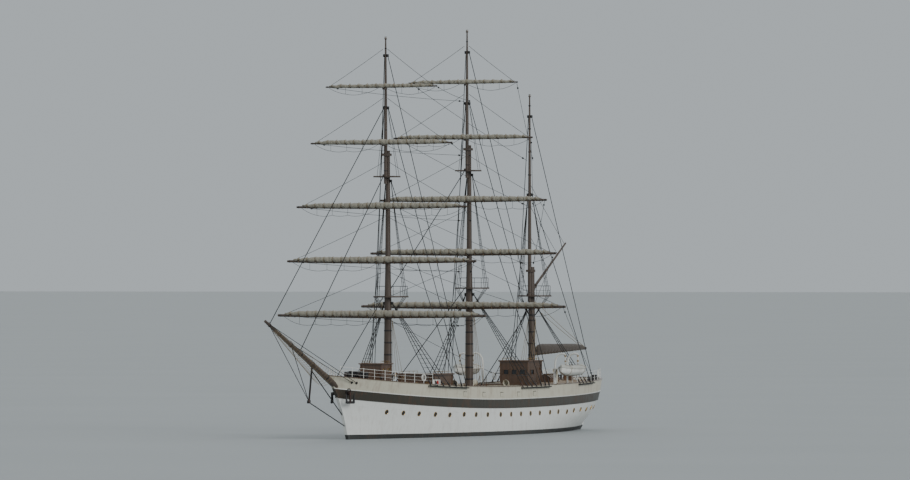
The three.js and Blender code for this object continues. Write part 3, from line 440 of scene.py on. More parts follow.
class Shape:
    """Faces gathered from simple solids and sheets, in metres of the real ship."""

    LEAST = 1e-4

    def __init__(self) -> None:
        """Starts with no faces."""
        self.points: list[np.ndarray] = []
        self.faces: list[list[int]] = []
        self.corners: list[np.ndarray] = []
        self.count = 0

    def grid(self, rings: object, closed: bool = False, loop: bool = False, caps: bool = False) -> Shape:
        """Adds a surface through rows of points.

        Args:
            rings: rows of points, all of the same length.
            closed: joins each row's last point to its first.
            loop: joins the last row to the first.
            caps: closes the first and the last row.

        Returns:
            This shape.
        """
        rings = np.asarray(rings, float)
        n, m, _ = rings.shape
        rows, columns = (n if loop else n - 1), (m if closed else m - 1)
        i, j = (a.ravel() for a in np.meshgrid(np.arange(rows), np.arange(columns), indexing="ij"))
        i2, j2 = (i + 1) % n, (j + 1) % m
        quads = np.stack([i * m + j, i * m + j2, i2 * m + j2, i2 * m + j], 1) + self.count
        steps = np.linalg.norm(np.roll(rings, -1, 0) - rings, axis=2).mean(1)
        widths = np.linalg.norm(np.roll(rings, -1, 1) - rings, axis=2).mean(0)
        u, v = np.concatenate([[0], np.cumsum(steps)]), np.concatenate([[0], np.cumsum(widths)])
        uv = np.stack([u[i], v[j], u[i], v[j + 1], u[i + 1], v[j + 1], u[i + 1], v[j]], 1).reshape(-1, 2)
        self.points.append(rings.reshape(-1, 3))
        self.faces.extend(quads.tolist())
        self.corners.append(uv)
        if caps:
            for row in (0, n - 1):
                self.faces.append([self.count + row * m + k for k in range(m)])
                self.corners.append(np.zeros((m, 2)))
        self.count += n * m
        return self

    def tube(self, path: object, radius: object, sides: int = 8, loop: bool = False) -> Shape:
        """Adds a tube of one radius, or of a radius for each point, along a path.

        Args:
            path: the path's points.
            radius: one radius or one for each point.
            sides: its number of sides.
            loop: joins its end to its start.

        Returns:
            This shape.
        """
        path = np.asarray(path, float)
        across, up = frames(path, loop)
        size = np.broadcast_to(np.asarray(radius, float), (len(path),))[:, None, None]
        rings = path[:, None] + size * unit_circle(across, up, sides)
        return self.grid(rings, closed=True, loop=loop, caps=not loop)

    def turned(
        self, base: Point, axis: Point, profile: Iterable[tuple[float, float]], sides: int = 16
    ) -> Shape:
        """Adds a turned solid.

        Args:
            base: where its axis starts.
            axis: the axis's direction.
            profile: radius and distance along the axis, from one end to the other.
            sides: its number of sides.

        Returns:
            This shape.
        """
        axis, circle = circle_round(axis, sides)
        base = np.asarray(base, float)
        rings = [base + axis * along + circle * max(radius, self.LEAST) for radius, along in profile]
        return self.grid(rings, closed=True, caps=True)

    def rod(
        self, start: Point, end: Point, radius: float, sides: int = 8, end_radius: float | None = None
    ) -> Shape:
        """Adds a straight rod.

        Args:
            start: the middle of its first end.
            end: the middle of its other end.
            radius: its radius.
            sides: its number of sides.
            end_radius: its radius at the other end, if it is tapered.

        Returns:
            This shape.
        """
        run = np.subtract(end, start)
        profile = [(radius, 0), (radius if end_radius is None else end_radius, float(np.linalg.norm(run)))]
        return self.turned(start, run, profile, sides)

    def ball(self, centre: Point, radius: float, sides: int = 12) -> Shape:
        """Adds a ball.

        Args:
            centre: its centre.
            radius: its radius.
            sides: its number of sides.

        Returns:
            This shape.
        """
        turns = np.linspace(-math.pi / 2, math.pi / 2, sides // 2 + 1)
        profile = [(radius * math.cos(t), radius * math.sin(t)) for t in turns]
        return self.turned(centre, UP, profile, sides)

    def ring(self, centre: Point, axis: Point, radius: float, thickness: float, sides: int = 24) -> Shape:
        """Adds a ring round an axis.

        Args:
            centre: its centre.
            axis: the axis that it lies round.
            radius: of its middle line.
            thickness: the radius of its section.
            sides: its number of sides.

        Returns:
            This shape.
        """
        _, circle = circle_round(axis, sides)
        path = np.asarray(centre, float) + radius * circle
        return self.tube(path, thickness, 8, loop=True)

    def bell(self, path: object, radii: object, wall: float, sides: int = 24) -> Shape:
        """Adds a pipe of a radius for each point, open at its far end and hollow down to its fourth point.

        Args:
            path: the pipe's middle line.
            radii: its radius at each point.
            wall: its thickness.
            sides: its number of sides.

        Returns:
            This shape.
        """
        path = np.asarray(path, float)
        across, up = frames(path)
        circle = unit_circle(across, up, sides)
        size = np.asarray(radii, float)[:, None, None]
        outer, inner = path[:, None] + size * circle, path[:, None] + (size - wall) * circle
        return self.grid(np.concatenate([outer, inner[:2:-1]]), closed=True, caps=True)

    def box(self, x: Point, y: Point, z: Point) -> Shape:
        """Adds a box from its ranges along the three axes."""
        corners = [(x[0], y[0]), (x[1], y[0]), (x[1], y[1]), (x[0], y[1])]
        return self.grid([[(a, b, height) for a, b in corners] for height in z], closed=True, caps=True)

    def beam(self, start: Point, end: Point, width: float, height: float) -> Shape:
        """Adds a straight bar of rectangular section.

        Args:
            start: the middle of its first end.
            end: the middle of its other end.
            width: across it.
            height: the other way across it.

        Returns:
            This shape.
        """
        path = np.array([start, end], float)
        across, up = frames(path)
        corners = [(-width, -height), (width, -height), (width, height), (-width, height)]
        rings = [[p + a * w / 2 + b * h / 2 for w, h in corners] for p, a, b in zip(path, across, up)]
        return self.grid(rings, closed=True, caps=True)

    def placed(
        self, name: str, finish: str, body: str = "hull", replaces: Sequence[str] = (), **look: float
    ) -> bpy.types.Object:
        """Makes the shape a piece of the ship.

        Args:
            name: the piece's name.
            finish: a name in FINISHES.
            body: the frame's body that it rides on.
            replaces: frame nodes that it stands for.
            look: angle, above which edges are sharp, in degrees, and bevel, the width of a soft edge.

        Returns:
            The new object.
        """
        mesh = bpy.data.meshes.new(name)
        mesh.from_pydata((np.concatenate(self.points) * SCALE).tolist(), [], self.faces)
        layer = mesh.uv_layers.new(name="UVMap")
        layer.data.foreach_set("uv", np.concatenate(self.corners).astype(np.float32).ravel())
        mesh.polygons.foreach_set("use_smooth", np.ones(len(mesh.polygons), bool))
        mesh.validate()
        turn_outward(mesh)
        mesh.set_sharp_from_angle(angle=math.radians(look.get("angle", 40)))
        mesh.materials.append(paint(finish))
        piece = bpy.data.objects.new(name, mesh)
        bpy.context.scene.collection.objects.link(piece)
        if look.get("bevel"):
            soften(piece, look["bevel"])
        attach(piece, body)
        if replaces:
            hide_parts(*replaces)
        LOG.info("%s: %d faces on %s", name, len(self.faces), body)
        return piece


def turn_outward(mesh: bpy.types.Mesh) -> None:
    """Turns a mesh's faces to look outward.

    Args:
        mesh: the mesh, which is changed.
    """
    work = bmesh.new()
    work.from_mesh(mesh)
    bmesh.ops.recalc_face_normals(work, faces=work.faces)
    work.to_mesh(mesh)
    work.free()


def soften(piece: bpy.types.Object, width: float) -> None:
    """Rounds a piece's sharp edges by a width in metres of the real ship.

    Args:
        piece: the object.
        width: the width of the soft edge.
    """
    bevel = piece.modifiers.new("edges", "BEVEL")
    bevel.width = width * SCALE
    bevel.segments = 2
    bevel.limit_method = "ANGLE"
    bevel.angle_limit = math.radians(40)
    bevel.harden_normals = True


def sagging(start: Point, end: Point, sag: float, steps: int = 12) -> np.ndarray:
    """Returns points of a rope between two points that hangs by a sag at its middle.

    Args:
        start: its first end.
        end: its other end.
        sag: depth of its middle.
        steps: its number of steps.

    Returns:
        The points, one more than the steps.
    """
    t = np.linspace(0, 1, steps + 1)[:, None]
    line = np.asarray(start, float) * (1 - t) + np.asarray(end, float) * t
    line[:, 2] -= (4 * sag * t * (1 - t))[:, 0]
    return line


def sharing(start: Point, end: Point, t: float) -> np.ndarray:
    """Returns the point at a share of the way from start to end."""
    return np.asarray(start, float) * (1 - t) + np.asarray(end, float) * t


# Hull form


@dataclass(frozen=True)
class Level:
    """One waterline of the hull.

    Attributes:
        ends: bow and stern.
        half: greatest half breadth.
        z: height at the bow, amidships and at the stern.
        bow: fullness of the bow as (p, q), half breadth = half * (1 - s^p)^q.
        stern: fullness of the stern in the same way.
    """

    ends: tuple[float, float]
    half: float
    z: tuple[float, float, float]
    bow: tuple[float, float]
    stern: tuple[float, float]

    def line(self, u: np.ndarray) -> np.ndarray:
        """Returns the port outline at shares u of the way from bow to stern.

        Args:
            u: shares, 0 at the bow.

        Returns:
            One point for each share.
        """
        bow, stern = 30.0, -25.5
        x = bow + (stern - bow) * (u + 1 - np.cos(math.pi * u)) / 3
        x = x + (self.ends[0] - bow) * np.maximum(0, 1 - u * 2.5) ** 1.5
        x = x + (self.ends[1] - stern) * np.maximum(0, 1 - (1 - u) * 2.5) ** 1.5
        ahead = x > 1.0
        s = np.minimum(1, (x - 1.0) / (np.where(ahead, *self.ends) - 1.0))
        p, q = (np.where(ahead, self.bow[k], self.stern[k]) for k in (0, 1))
        y = np.maximum(0.14, self.half * (1 - s**p) ** q)
        z = self.z[1] + (np.where(ahead, self.z[0], self.z[2]) - self.z[1]) * s * s
        return np.stack([x, y, z], 1)


LEVELS = {
    "keel": Level((26.3, -23.2), 0.2, (-4.5, -4.5, -4.5), (9, 1), (9, 1)),
    "garboard": Level((26.5, -23.2), 2.6, (-4.1, -4.25, -4.15), (1.5, 1.4), (1.3, 2)),
    "bilge": Level((26.9, -23.2), 4.55, (-3.1, -3.4, -3.0), (1.7, 1.3), (1.4, 1.8)),
    "side": Level((27.5, -23.3), 5.15, (-1.8, -2.0, -1.6), (1.8, 1.2), (1.6, 1.5)),
    "water": Level((28.0, -25.9), 5.28, (0, 0, 0), (1.9, 1.1), (2, 1.1)),
    "boot": Level((28.2, -26.5), 5.3, (0.45, 0.4, 0.45), (1.9, 1.05), (2.2, 1)),
    "strake": Level((29.0, -27.6), 5.32, (2.2, 1.5, 1.9), (2, 1), (2.6, 0.75)),
    "bandLow": Level((30.2, -28.2), 5.3, (4.0, 2.65, 3.2), (2.1, 0.95), (3, 0.62)),
    "bandTop": Level((31.0, -28.5), 5.28, (4.9, 3.5, 4.05), (2.15, 0.92), (3, 0.58)),
    "rail": Level((32.2, -28.8), 5.25, (6.1, 4.7, 5.2), (2.2, 0.9), (3, 0.55)),
}


def outward(line: np.ndarray, distance: float) -> np.ndarray:
    """Returns a port outline moved outward, kept on its side of the centre line.

    Args:
        line: the outline's points.
        distance: how far it moves out.

    Returns:
        The moved points.
    """
    along = np.gradient(line[:, :2], axis=0)
    along /= np.maximum(np.linalg.norm(along, axis=1, keepdims=True), 1e-9)
    moved = line.copy()
    moved[:, 0] += along[:, 1] * distance
    moved[:, 1] = np.maximum(moved[:, 1] - along[:, 0] * distance, 0.0005)
    return moved


def mirrored(points: np.ndarray, side: Side = Side.STARBOARD) -> np.ndarray:
    """Returns port points on a side of the ship."""
    return np.asarray(points, float) * (1, side.value, 1)


class HullForm:
    """The hull as a smooth surface through its waterlines."""

    DECK_DROP = 0.15
    CAMBER = 0.12
    FORECASTLE = 0.3
    POOP = 0.65

    def __init__(self) -> None:
        """Lays out the port side above the boot-top for finding points on it."""
        self.u = np.linspace(0, 1, 201)
        self.skin = self.surface("boot", "rail", 16)

    def surface(self, low: str, high: str, steps: int, u: np.ndarray | None = None) -> np.ndarray:
        """Returns rows of port points from one level up to another.

        Args:
            low: the lowest level's name.
            high: the highest level's name.
            steps: rows from level to level.
            u: shares of the way aft, or None for the form's own.

        Returns:
            The rows, from the lowest up.
        """
        u = self.u if u is None else u
        table = np.stack([level.line(u) for level in LEVELS.values()])
        names = list(LEVELS)
        first, last = names.index(low), names.index(high)
        rows = []
        for k in range(first, last):
            a, b, c, d = (table[min(max(i, 0), len(table) - 1)] for i in (k - 1, k, k + 1, k + 2))
            for t in np.arange(steps) / steps:
                slope, bend = 2 * a - 5 * b + 4 * c - d, 3 * (b - c) + d - a
                rows.append(b + 0.5 * t * (c - a + t * (slope + t * bend)))
        return np.stack([*rows, table[last]])

    def near(self, x: float, z: float, side: Side = Side.PORT) -> tuple[np.ndarray, np.ndarray]:
        """Returns the point of the side nearest a place along and a height, and the way out from it.

        Args:
            x: the place along.
            z: the height.
            side: the side of the ship.

        Returns:
            The point and the way out.
        """
        gap = (self.skin[:, :, 0] - x) ** 2 + (self.skin[:, :, 2] - z) ** 2
        i, j = np.unravel_index(np.argmin(gap), gap.shape)
        i, j = min(max(i, 1), gap.shape[0] - 2), min(max(j, 1), gap.shape[1] - 2)
        out = np.cross(self.skin[i + 1, j] - self.skin[i - 1, j], self.skin[i, j + 1] - self.skin[i, j - 1])
        out /= np.linalg.norm(out)
        out *= np.sign(out[1])
        return mirrored(self.skin[i, j], side), mirrored(out, side)

    def rail(self, x: float, inboard: float = 0.0, side: Side = Side.PORT) -> np.ndarray:
        """Returns the rail's point at a place along, a distance inboard."""
        line = outward(LEVELS["rail"].line(self.u), -inboard)[::-1]
        return mirrored([x, np.interp(x, line[:, 0], line[:, 1]), np.interp(x, line[:, 0], line[:, 2])], side)

    def deck_edge(self, u: np.ndarray, raised: bool, inboard: float = 0.12) -> np.ndarray:
        """Returns the port edge of a deck at shares u, where it meets the bulwark.

        Args:
            u: shares of the way aft.
            raised: whether the deck is the forecastle or the poop.
            inboard: its distance inside the plating.

        Returns:
            One point for each share.
        """
        foot = outward(LEVELS["bandTop"].line(u), -inboard)
        head = outward(LEVELS["rail"].line(u), -inboard)
        above = head[:, 2] - self.DECK_DROP if raised else foot[:, 2] + 0.1
        t = ((above - foot[:, 2]) / (head[:, 2] - foot[:, 2]))[:, None]
        return foot + (head - foot) * t

    def deck_at(self, x: float, raised: bool, y: float = 0.0) -> float:
        """Returns the height of the deck's surface at a place.

        Args:
            x: the place along.
            raised: whether the deck is the forecastle or the poop.
            y: the place across.

        Returns:
            The height.
        """
        edge = self.deck_edge(self.u, raised)[::-1]
        half = np.interp(x, edge[:, 0], edge[:, 1])
        return float(np.interp(x, edge[:, 0], edge[:, 2]) + self.CAMBER * (1 - (y / half) ** 2))


@dataclass
class Hull:
    """Plating, bulwarks, decks, ports and rails.

    Attributes:
        form: the hull's surface.
        porthole_step: distance between portholes.
        porthole_radius: radius of a porthole's clear opening.
        rail_width: breadth of the cap rail.
        rail_height: height of the guard rails' stanchions.
        stanchion_step: distance between stanchions, about.
        plating: thickness of the bulwarks.
        frame_step: distance between the bulwarks' frames, as a share of the way aft.
        ladder_reach: how far a ladder's foot stands out from the bulkhead.
        ladder_sides: places across of a ladder's two sides.
        shaft_end: a point on the propeller shaft, inside its boss.
    """

    form: HullForm
    porthole_step: float = 2.35
    porthole_radius: float = 0.17
    rail_width: float = 0.28
    rail_height: float = 1.0
    stanchion_step: float = 1.55
    plating: float = 0.12
    frame_step: float = 0.0145
    ladder_reach: float = 0.95
    ladder_sides: tuple[float, float] = (2.5, 3.2)
    shaft_end: Point = (-22, 0, -2.85)

    def build(self) -> None:
        """Makes all pieces of the hull."""
        self._plating()
        self._bulwarks()
        self._decks()
        self._mouldings()
        self._portholes()
        self._breaks()
        self._guard_rails()

    def _around(self, rows: np.ndarray) -> np.ndarray:
        """Returns port rows carried on round the starboard side."""
        return np.concatenate([rows, mirrored(rows)[:, ::-1]], axis=1)

    def _plating(self) -> None:
        """Makes the skin in its three colours, each down to the one below."""
        bottom = self.form.surface("keel", "water", 9)
        shape = Shape().grid(self._around(bottom), closed=True)
        keel = bottom[0]
        shape.grid([keel, mirrored(keel)])
        shape.box((-25.1, -23), (-0.18, 0.18), (-4.5, -4.25))
        boss = [(0.12, -2.2), (0.26, -0.9), (0.32, 0), (0.27, 1.3), (0.24, 1.6)]
        shape.turned(self.shaft_end, (-1, 0, 0), boss, 24)
        shape.placed("underbody", "antifouling", replaces=["hull_bottom"])
        for name, finish, low, high, steps, nodes in (
            ("boot_top", "boot", "water", "boot", 3, []),
            ("topsides", "white", "boot", "bandLow", 8, ["hull_topsides"]),
            ("sheer_band", "band", "bandLow", "bandTop", 6, ["hull_band"]),
        ):
            skin = self._around(self.form.surface(low, high, steps))
            Shape().grid(skin, closed=True).placed(name, finish, replaces=nodes)

    def _bulwarks(self) -> None:
        """Makes the bulwarks with their frames inside and the rail on top."""
        for side in Side:
            label = side.label
            outer = self.form.surface("bandTop", "rail", 5)
            inner = np.stack([outward(row, -self.plating) for row in outer[::-1]])
            section = np.concatenate([outer, inner]).transpose(1, 0, 2)
            Shape().grid(mirrored(section, side), closed=True, caps=True).placed(
                f"bulwark_plating_{label}", "cream", replaces=[f"bulwark_{label}"], angle=50
            )
            rail = LEVELS["rail"].line(self.form.u)
            edges = [outward(rail, out) + (0, 0, up) for out, up in self._rail_section()]
            Shape().grid(mirrored(np.stack(edges, 1), side), closed=True, caps=True).placed(
                f"cap_rail_{label}", "varnish", angle=50
            )
            frames_inside = Shape()
            for u in np.arange(0.315, 0.64, self.frame_step):
                at = np.array([u, u + 0.001])
                foot, head = (outward(LEVELS[name].line(at), -0.19)[0] for name in ("bandTop", "rail"))
                foot, head = foot + (0, 0, 0.1), head - (0, 0, 0.02)
                frames_inside.beam(mirrored(foot, side), mirrored(head, side), 0.05, 0.14)
            frames_inside.placed(f"bulwark_frames_{label}", "cream")

    def _rail_section(self) -> list[tuple[float, float]]:
        """Returns the cap rail's section.

        Returns:
            Points as the distance out and up from the top of the bulwark.
        """
        half = self.rail_width / 2
        middle = -0.06
        round_in = [(middle - half, 0.02), (middle - half + 0.02, 0.065), (middle, 0.08)]
        return [*round_in, (middle + half - 0.02, 0.065), (middle + half, 0.02), (middle, 0.0)]

    def _decks(self) -> None:
        """Lays the three decks, with a margin plank along each side."""
        form = self.form
        plans = {
            "main_deck": (form.FORECASTLE, form.POOP, False),
            "forecastle": (0.012, form.FORECASTLE, True),
            "poop": (form.POOP, 0.999, True),
        }
        for name, (start, end, raised) in plans.items():
            u = np.linspace(start, end, 60)
            edge = form.deck_edge(u, raised)
            across = np.linspace(-1, 1, 17)
            rows = [[(x, y * s, z + form.CAMBER * (1 - s * s)) for s in across] for x, y, z in edge]
            Shape().grid(rows).placed(f"{name}_planking", "teak", replaces=[name])
            margin = Shape()
            for side in Side:
                strip = np.stack([edge + (0, 0, 0.03), outward(edge, -0.3) + (0, 0, 0.035)])
                margin.grid(mirrored(strip, side))
            margin.placed(f"{name}_margin", "band")

    def _mouldings(self) -> None:
        """Runs half-round mouldings along the edges of the band."""
        for name, radius in {"bandLow": 0.045, "bandTop": 0.05}.items():
            shape = Shape()
            for side in Side:
                line = outward(LEVELS[name].line(self.form.u), 0.01)
                shape.tube(mirrored(line, side), radius, 8)
            shape.placed(f"moulding_{name}", "trim" if name == "bandTop" else "band")

    def _portholes(self) -> None:
        """Sets round ports with brass rims in the topsides."""
        rims, panes = Shape(), Shape()
        for side in Side:
            for x in np.arange(-23.5, 25.5, self.porthole_step):
                low, high = (np.interp(x, *self._heights(name)) for name in ("strake", "bandLow"))
                at, out = self.form.near(x, low + (high - low) * 0.42, side)
                radius = self.porthole_radius
                rims.ring(at + out * 0.012, out, radius * 1.25, 0.035)
                panes.turned(at - out * 0.02, out, [(radius * 1.15, 0), (radius * 1.15, 0.03)], 20)
        rims.placed("porthole_rims", "brass")
        panes.placed("porthole_glass", "glass")

    def _heights(self, name: str) -> tuple[np.ndarray, np.ndarray]:
        """Returns a level's places along and heights, from stern to bow."""
        line = LEVELS[name].line(self.form.u)[::-1]
        return line[:, 0], line[:, 2]

    def _breaks(self) -> None:
        """Closes the raised decks' ends with bulkheads, and sets ladders against them."""
        form = self.form
        for name, u, into in (("forecastle", form.FORECASTLE, -1), ("poop", form.POOP, 1)):
            one = np.array([u, u + 1e-3])
            low, high = form.deck_edge(one, False)[0], form.deck_edge(one, True)[0]
            across = np.linspace(-1, 1, 17)
            rows = [
                [(x, y * s, z + form.CAMBER * (1 - s * s) + lift) for s in across]
                for (x, y, z), lift in ((low, -0.02), (high, 0.01))
            ]
            Shape().grid(rows).placed(f"{name}_bulkhead", "cream")
            beam = Shape().tube(np.array(rows[1]) + (into * 0.03, 0, 0.02), 0.06)
            beam.placed(f"{name}_beam", "varnish")
            ladder, (inner, outer) = Shape(), self.ladder_sides
            x, deck, top = low[0], form.deck_at(low[0], False, 2.8), form.deck_at(high[0], True, 2.8)
            for side in Side:
                for y in self.ladder_sides:
                    foot = np.array((x + into * self.ladder_reach, y * side.value, deck))
                    head = np.array((x + into * 0.1, y * side.value, top + 0.02))
                    ladder.beam(foot, head, 0.06, 0.16)
                    ladder.tube([foot + (0, 0, 0.85), head + (0, 0, 0.9)], 0.025)
                    ladder.rod(head, head + (0, 0, 0.9), 0.025)
                for k in range(1, 5):
                    step = sharing((x + into * self.ladder_reach, 0, deck), (x + into * 0.1, 0, top), k / 5)
                    y = sorted((inner * side.value, outer * side.value))
                    ladder.box((step[0] - 0.12, step[0] + 0.12), y, (step[2] - 0.02, step[2] + 0.02))
            ladder.placed(f"{name}_ladders", "varnish", bevel=0.01)

    def _guard_rails(self) -> None:
        """Sets stanchions and wires round the forecastle and the poop, open where the boats hang."""
        spans = {"forecastle": [(17.3, 30.6)], "poop": [(-8.6, -9.2), (-13.6, -27.6)]}
        post = [(0.045, 0), (0.03, 0.04), (0.024, self.rail_height)]
        for name, runs in spans.items():
            posts, wires = Shape(), Shape()
            for side in Side:
                for start, end in runs:
                    count = max(2, round(abs(end - start) / self.stanchion_step) + 1)
                    feet = np.array([self.form.rail(x, 0.16, side) for x in np.linspace(start, end, count)])
                    for foot in feet:
                        posts.turned(foot, UP, post, 8)
                        posts.ball(foot + (0, 0, self.rail_height), 0.04, 8)
                    for up in (0.34, 0.67, 0.97):
                        wires.tube(feet + (0, 0, up), 0.02 if up > 0.9 else 0.012, 6)
            posts.placed(f"{name}_stanchions", "trim")
            wires.placed(f"{name}_rails", "trim")


# Rig


@dataclass(frozen=True)
class Mast:
    """One mast.

    Attributes:
        name: fore, main or mizzen.
        x: place along of the lower mast's axis.
        raised: height by which its rig stands above the fore mast's.
        truck: height of its top.
        platform: height of the top.
        trees: height of the crosstrees, or None.
        upper_head: height to which its upper shrouds reach.
        profile: radius and height of the lower mast, on the fore mast's scale.
        AHEAD: distance of the upper mast before the lower.
    """

    name: str
    x: float
    raised: float
    truck: float
    platform: float
    trees: float | None
    upper_head: float
    profile: tuple[tuple[float, float], ...]

    AHEAD = 0.5

    def radius(self, z: float) -> float:
        """Returns the lower mast's radius at a height."""
        heights, radii = zip(*((h + self.raised, r) for r, h in self.profile))
        return float(np.interp(z, heights, radii))


@dataclass(frozen=True)
class Wire:
    """A shroud or backstay: how far its foot is behind the mast, its head's height, and on which part."""

    foot: float
    head: float
    upper: bool = False


SQUARE = ((0.38, 2.5), (0.38, 6), (0.34, 13), (0.27, 16), (0.21, 24.5), (0.2, 27.5))
AFTER = ((0.36, 2.5), (0.36, 6), (0.31, 13), (0.28, 16.4))
MASTS = (
    Mast("fore", 19.0, 0.0, 38.4, 13.5, 25.0, 31.6, SQUARE),
    Mast("main", 0.5, 0.8, 39.6, 14.3, 25.8, 32.4, SQUARE),
    Mast("mizzen", -14.3, 0.0, 33.6, 13.5, None, 23.4, AFTER),
)
LOWER_SHROUDS = {
    "fore": [Wire(1.0, 12.9), Wire(2.1, 12.9), Wire(3.2, 12.9), Wire(4.3, 12.9)],
    "main": [Wire(1.0, 13.7), Wire(2.1, 13.7), Wire(3.2, 13.7), Wire(4.3, 13.7)],
    "mizzen": [Wire(1.0, 12.6), Wire(2.1, 12.6), Wire(3.2, 12.6)],
}
BACKSTAYS = {
    "fore": [Wire(5.4, 24.6), Wire(6.4, 31.6, True), Wire(7.3, 36.6, True)],
    "main": [Wire(5.4, 25.4), Wire(6.4, 32.4, True), Wire(7.3, 37.4, True)],
    "mizzen": [Wire(4.3, 23.6, True), Wire(5.3, 31.4, True)],
}


@dataclass
class Masts:
    """The masts with their hoops, tops, ladders of ratlines and the gear at their feet.

    Attributes:
        form: the hull's surface.
        rung: distance between ratlines.
        thickness: radius of a ratline.
    """

    form: HullForm
    rung: float = 0.42
    thickness: float = 0.016

    def build(self) -> None:
        """Makes what stands on and round each mast."""
        for mast in MASTS:
            self._finish(mast)
            self._hoops(mast)
            self._top(mast)
            self._shrouds(mast)
            self._upper_shrouds(mast)
            self._fife_rail(mast)

    def _finish(self, mast: Mast) -> None:
        """Paints the frame's own masts and shrouds.

        Args:
            mast: the mast.
        """
        upper = "topmast" if mast.name == "mizzen" else "topgallant_mast"
        dress([f"{mast.name}_mast", f"{mast.name}_{upper}"], "spar", 0.02)
        dress([f"{mast.name}_shrouds_port", f"{mast.name}_shrouds_starboard"], "wire", 0.0)

    def _hoops(self, mast: Mast) -> None:
        """Sets iron hoops round the mast and a canvas coat at the deck.

        Args:
            mast: the mast.
        """
        iron, coat = Shape(), Shape()
        deck = self.form.deck_at(mast.x, mast.name != "main")
        for z in np.arange(deck + 1.6, mast.platform - 1.2, 1.15):
            radius = mast.radius(z) + 0.025
            profile = [(radius - 0.02, 0), (radius, 0.02), (radius, 0.12), (radius - 0.02, 0.14)]
            iron.turned((mast.x, 0, z), UP, profile, 24)
        wide = mast.radius(deck)
        skirt = [(wide + 0.2, 0), (wide + 0.14, 0.16), (wide + 0.02, 0.4)]
        coat.turned((mast.x, 0, deck - 0.05), UP, skirt, 24)
        x, top = mast.x + mast.AHEAD, mast.truck
        coat.ball((x, 0, top - 0.1), 0.115)
        for z in np.linspace(mast.platform + 12, top - 1.2, 4):
            radius = 0.185 - (z - 25) * 0.006
            iron.turned((x, 0, z), UP, [(0.1, 0), (radius, 0.02), (radius, 0.1)], 16)
        iron.placed(f"{mast.name}_mast_hoops", "iron")
        coat.placed(f"{mast.name}_mast_coat", "trim")

    def _top(self, mast: Mast) -> None:
        """Rails the top's after edge and hangs its futtock shrouds.

        Args:
            mast: the mast.
        """
        shape, x, z = Shape(), mast.x, mast.platform
        back = [(x - 1.18, y, z + 0.07) for y in np.linspace(-1.5, 1.5, 5)]
        for foot in back:
            shape.rod(foot, (foot[0], foot[1], z + 1.0), 0.022)
        shape.tube([(p[0], p[1], z + 1.0) for p in back], 0.028)
        shape.tube([(p[0], p[1], z + 0.55) for p in back], 0.014)
        for side in Side:
            for aft in (0.15, 0.5, 0.85):
                hold = mast.radius(z - 1.9) + 0.02
                foot = (x - aft * 0.2, hold * side.value, z - 1.9)
                shape.rod((x - aft, 1.5 * side.value, z - 0.07), foot, 0.026)
        radius = mast.radius(z) + 0.03
        shape.turned((x, 0, z - 1.98), UP, [(radius, 0), (radius, 0.16)], 24)
        shape.placed(f"{mast.name}_top_rails", "iron")

    def _wire(self, mast: Mast, wire: Wire, side: Side) -> tuple[np.ndarray, np.ndarray]:
        """Returns the ends of a shroud or backstay, as the frame has them.

        Args:
            mast: the mast.
            wire: the shroud or backstay.
            side: the side of the ship.

        Returns:
            Its foot and its head.
        """
        line = outward(LEVELS["rail"].line(self.form.u), 0.16)[::-1]
        x = mast.x - wire.foot
        foot = (x, np.interp(x, line[:, 0], line[:, 1]), np.interp(x, line[:, 0], line[:, 2]) - 0.15)
        head_x = mast.x + (mast.AHEAD if wire.upper else 0.0) - 0.1
        near = 0.2 if wire.upper else mast.radius(wire.head) + 0.07
        return mirrored(foot, side), mirrored((head_x, near, wire.head), side)

    def _shrouds(self, mast: Mast) -> None:
        """Sets rigging screws at the feet of all wires and ratlines across the lower shrouds.

        Args:
            mast: the mast.
        """
        screws, ratlines = Shape(), Shape()
        profile = [(0.03, 0.12), (0.065, 0.18), (0.065, 0.55), (0.045, 0.62), (0.045, 0.8), (0.03, 0.9)]
        for side in Side:
            lower = [self._wire(mast, wire, side) for wire in LOWER_SHROUDS[mast.name]]
            for foot, head in [*lower, *(self._wire(mast, wire, side) for wire in BACKSTAYS[mast.name])]:
                screws.turned(foot, head - foot, profile, 10)
            self._rungs(ratlines, lower, lower[0][0][2] + 1.35, mast.platform - 1.2)
            rod = [foot + (head - foot) * 0.13 for foot, head in lower]
            screws.tube(rod, 0.03)
        screws.placed(f"{mast.name}_rigging_screws", "iron")
        ratlines.placed(f"{mast.name}_ratlines", "wire")

    def _rungs(
        self, shape: Shape, wires: list[tuple[np.ndarray, np.ndarray]], low: float, high: float
    ) -> None:
        """Ties ratlines across neighbouring wires.

        Args:
            shape: what they are added to.
            wires: each wire's foot and head.
            low: height of the lowest.
            high: height that they stay below.
        """
        for z in np.arange(low, high, self.rung):
            points = [foot + (head - foot) * (z - foot[2]) / (head[2] - foot[2]) for foot, head in wires]
            for a, b in zip(points, points[1:]):
                shape.tube(sagging(a, b, 0.02, 4), self.thickness, 5)

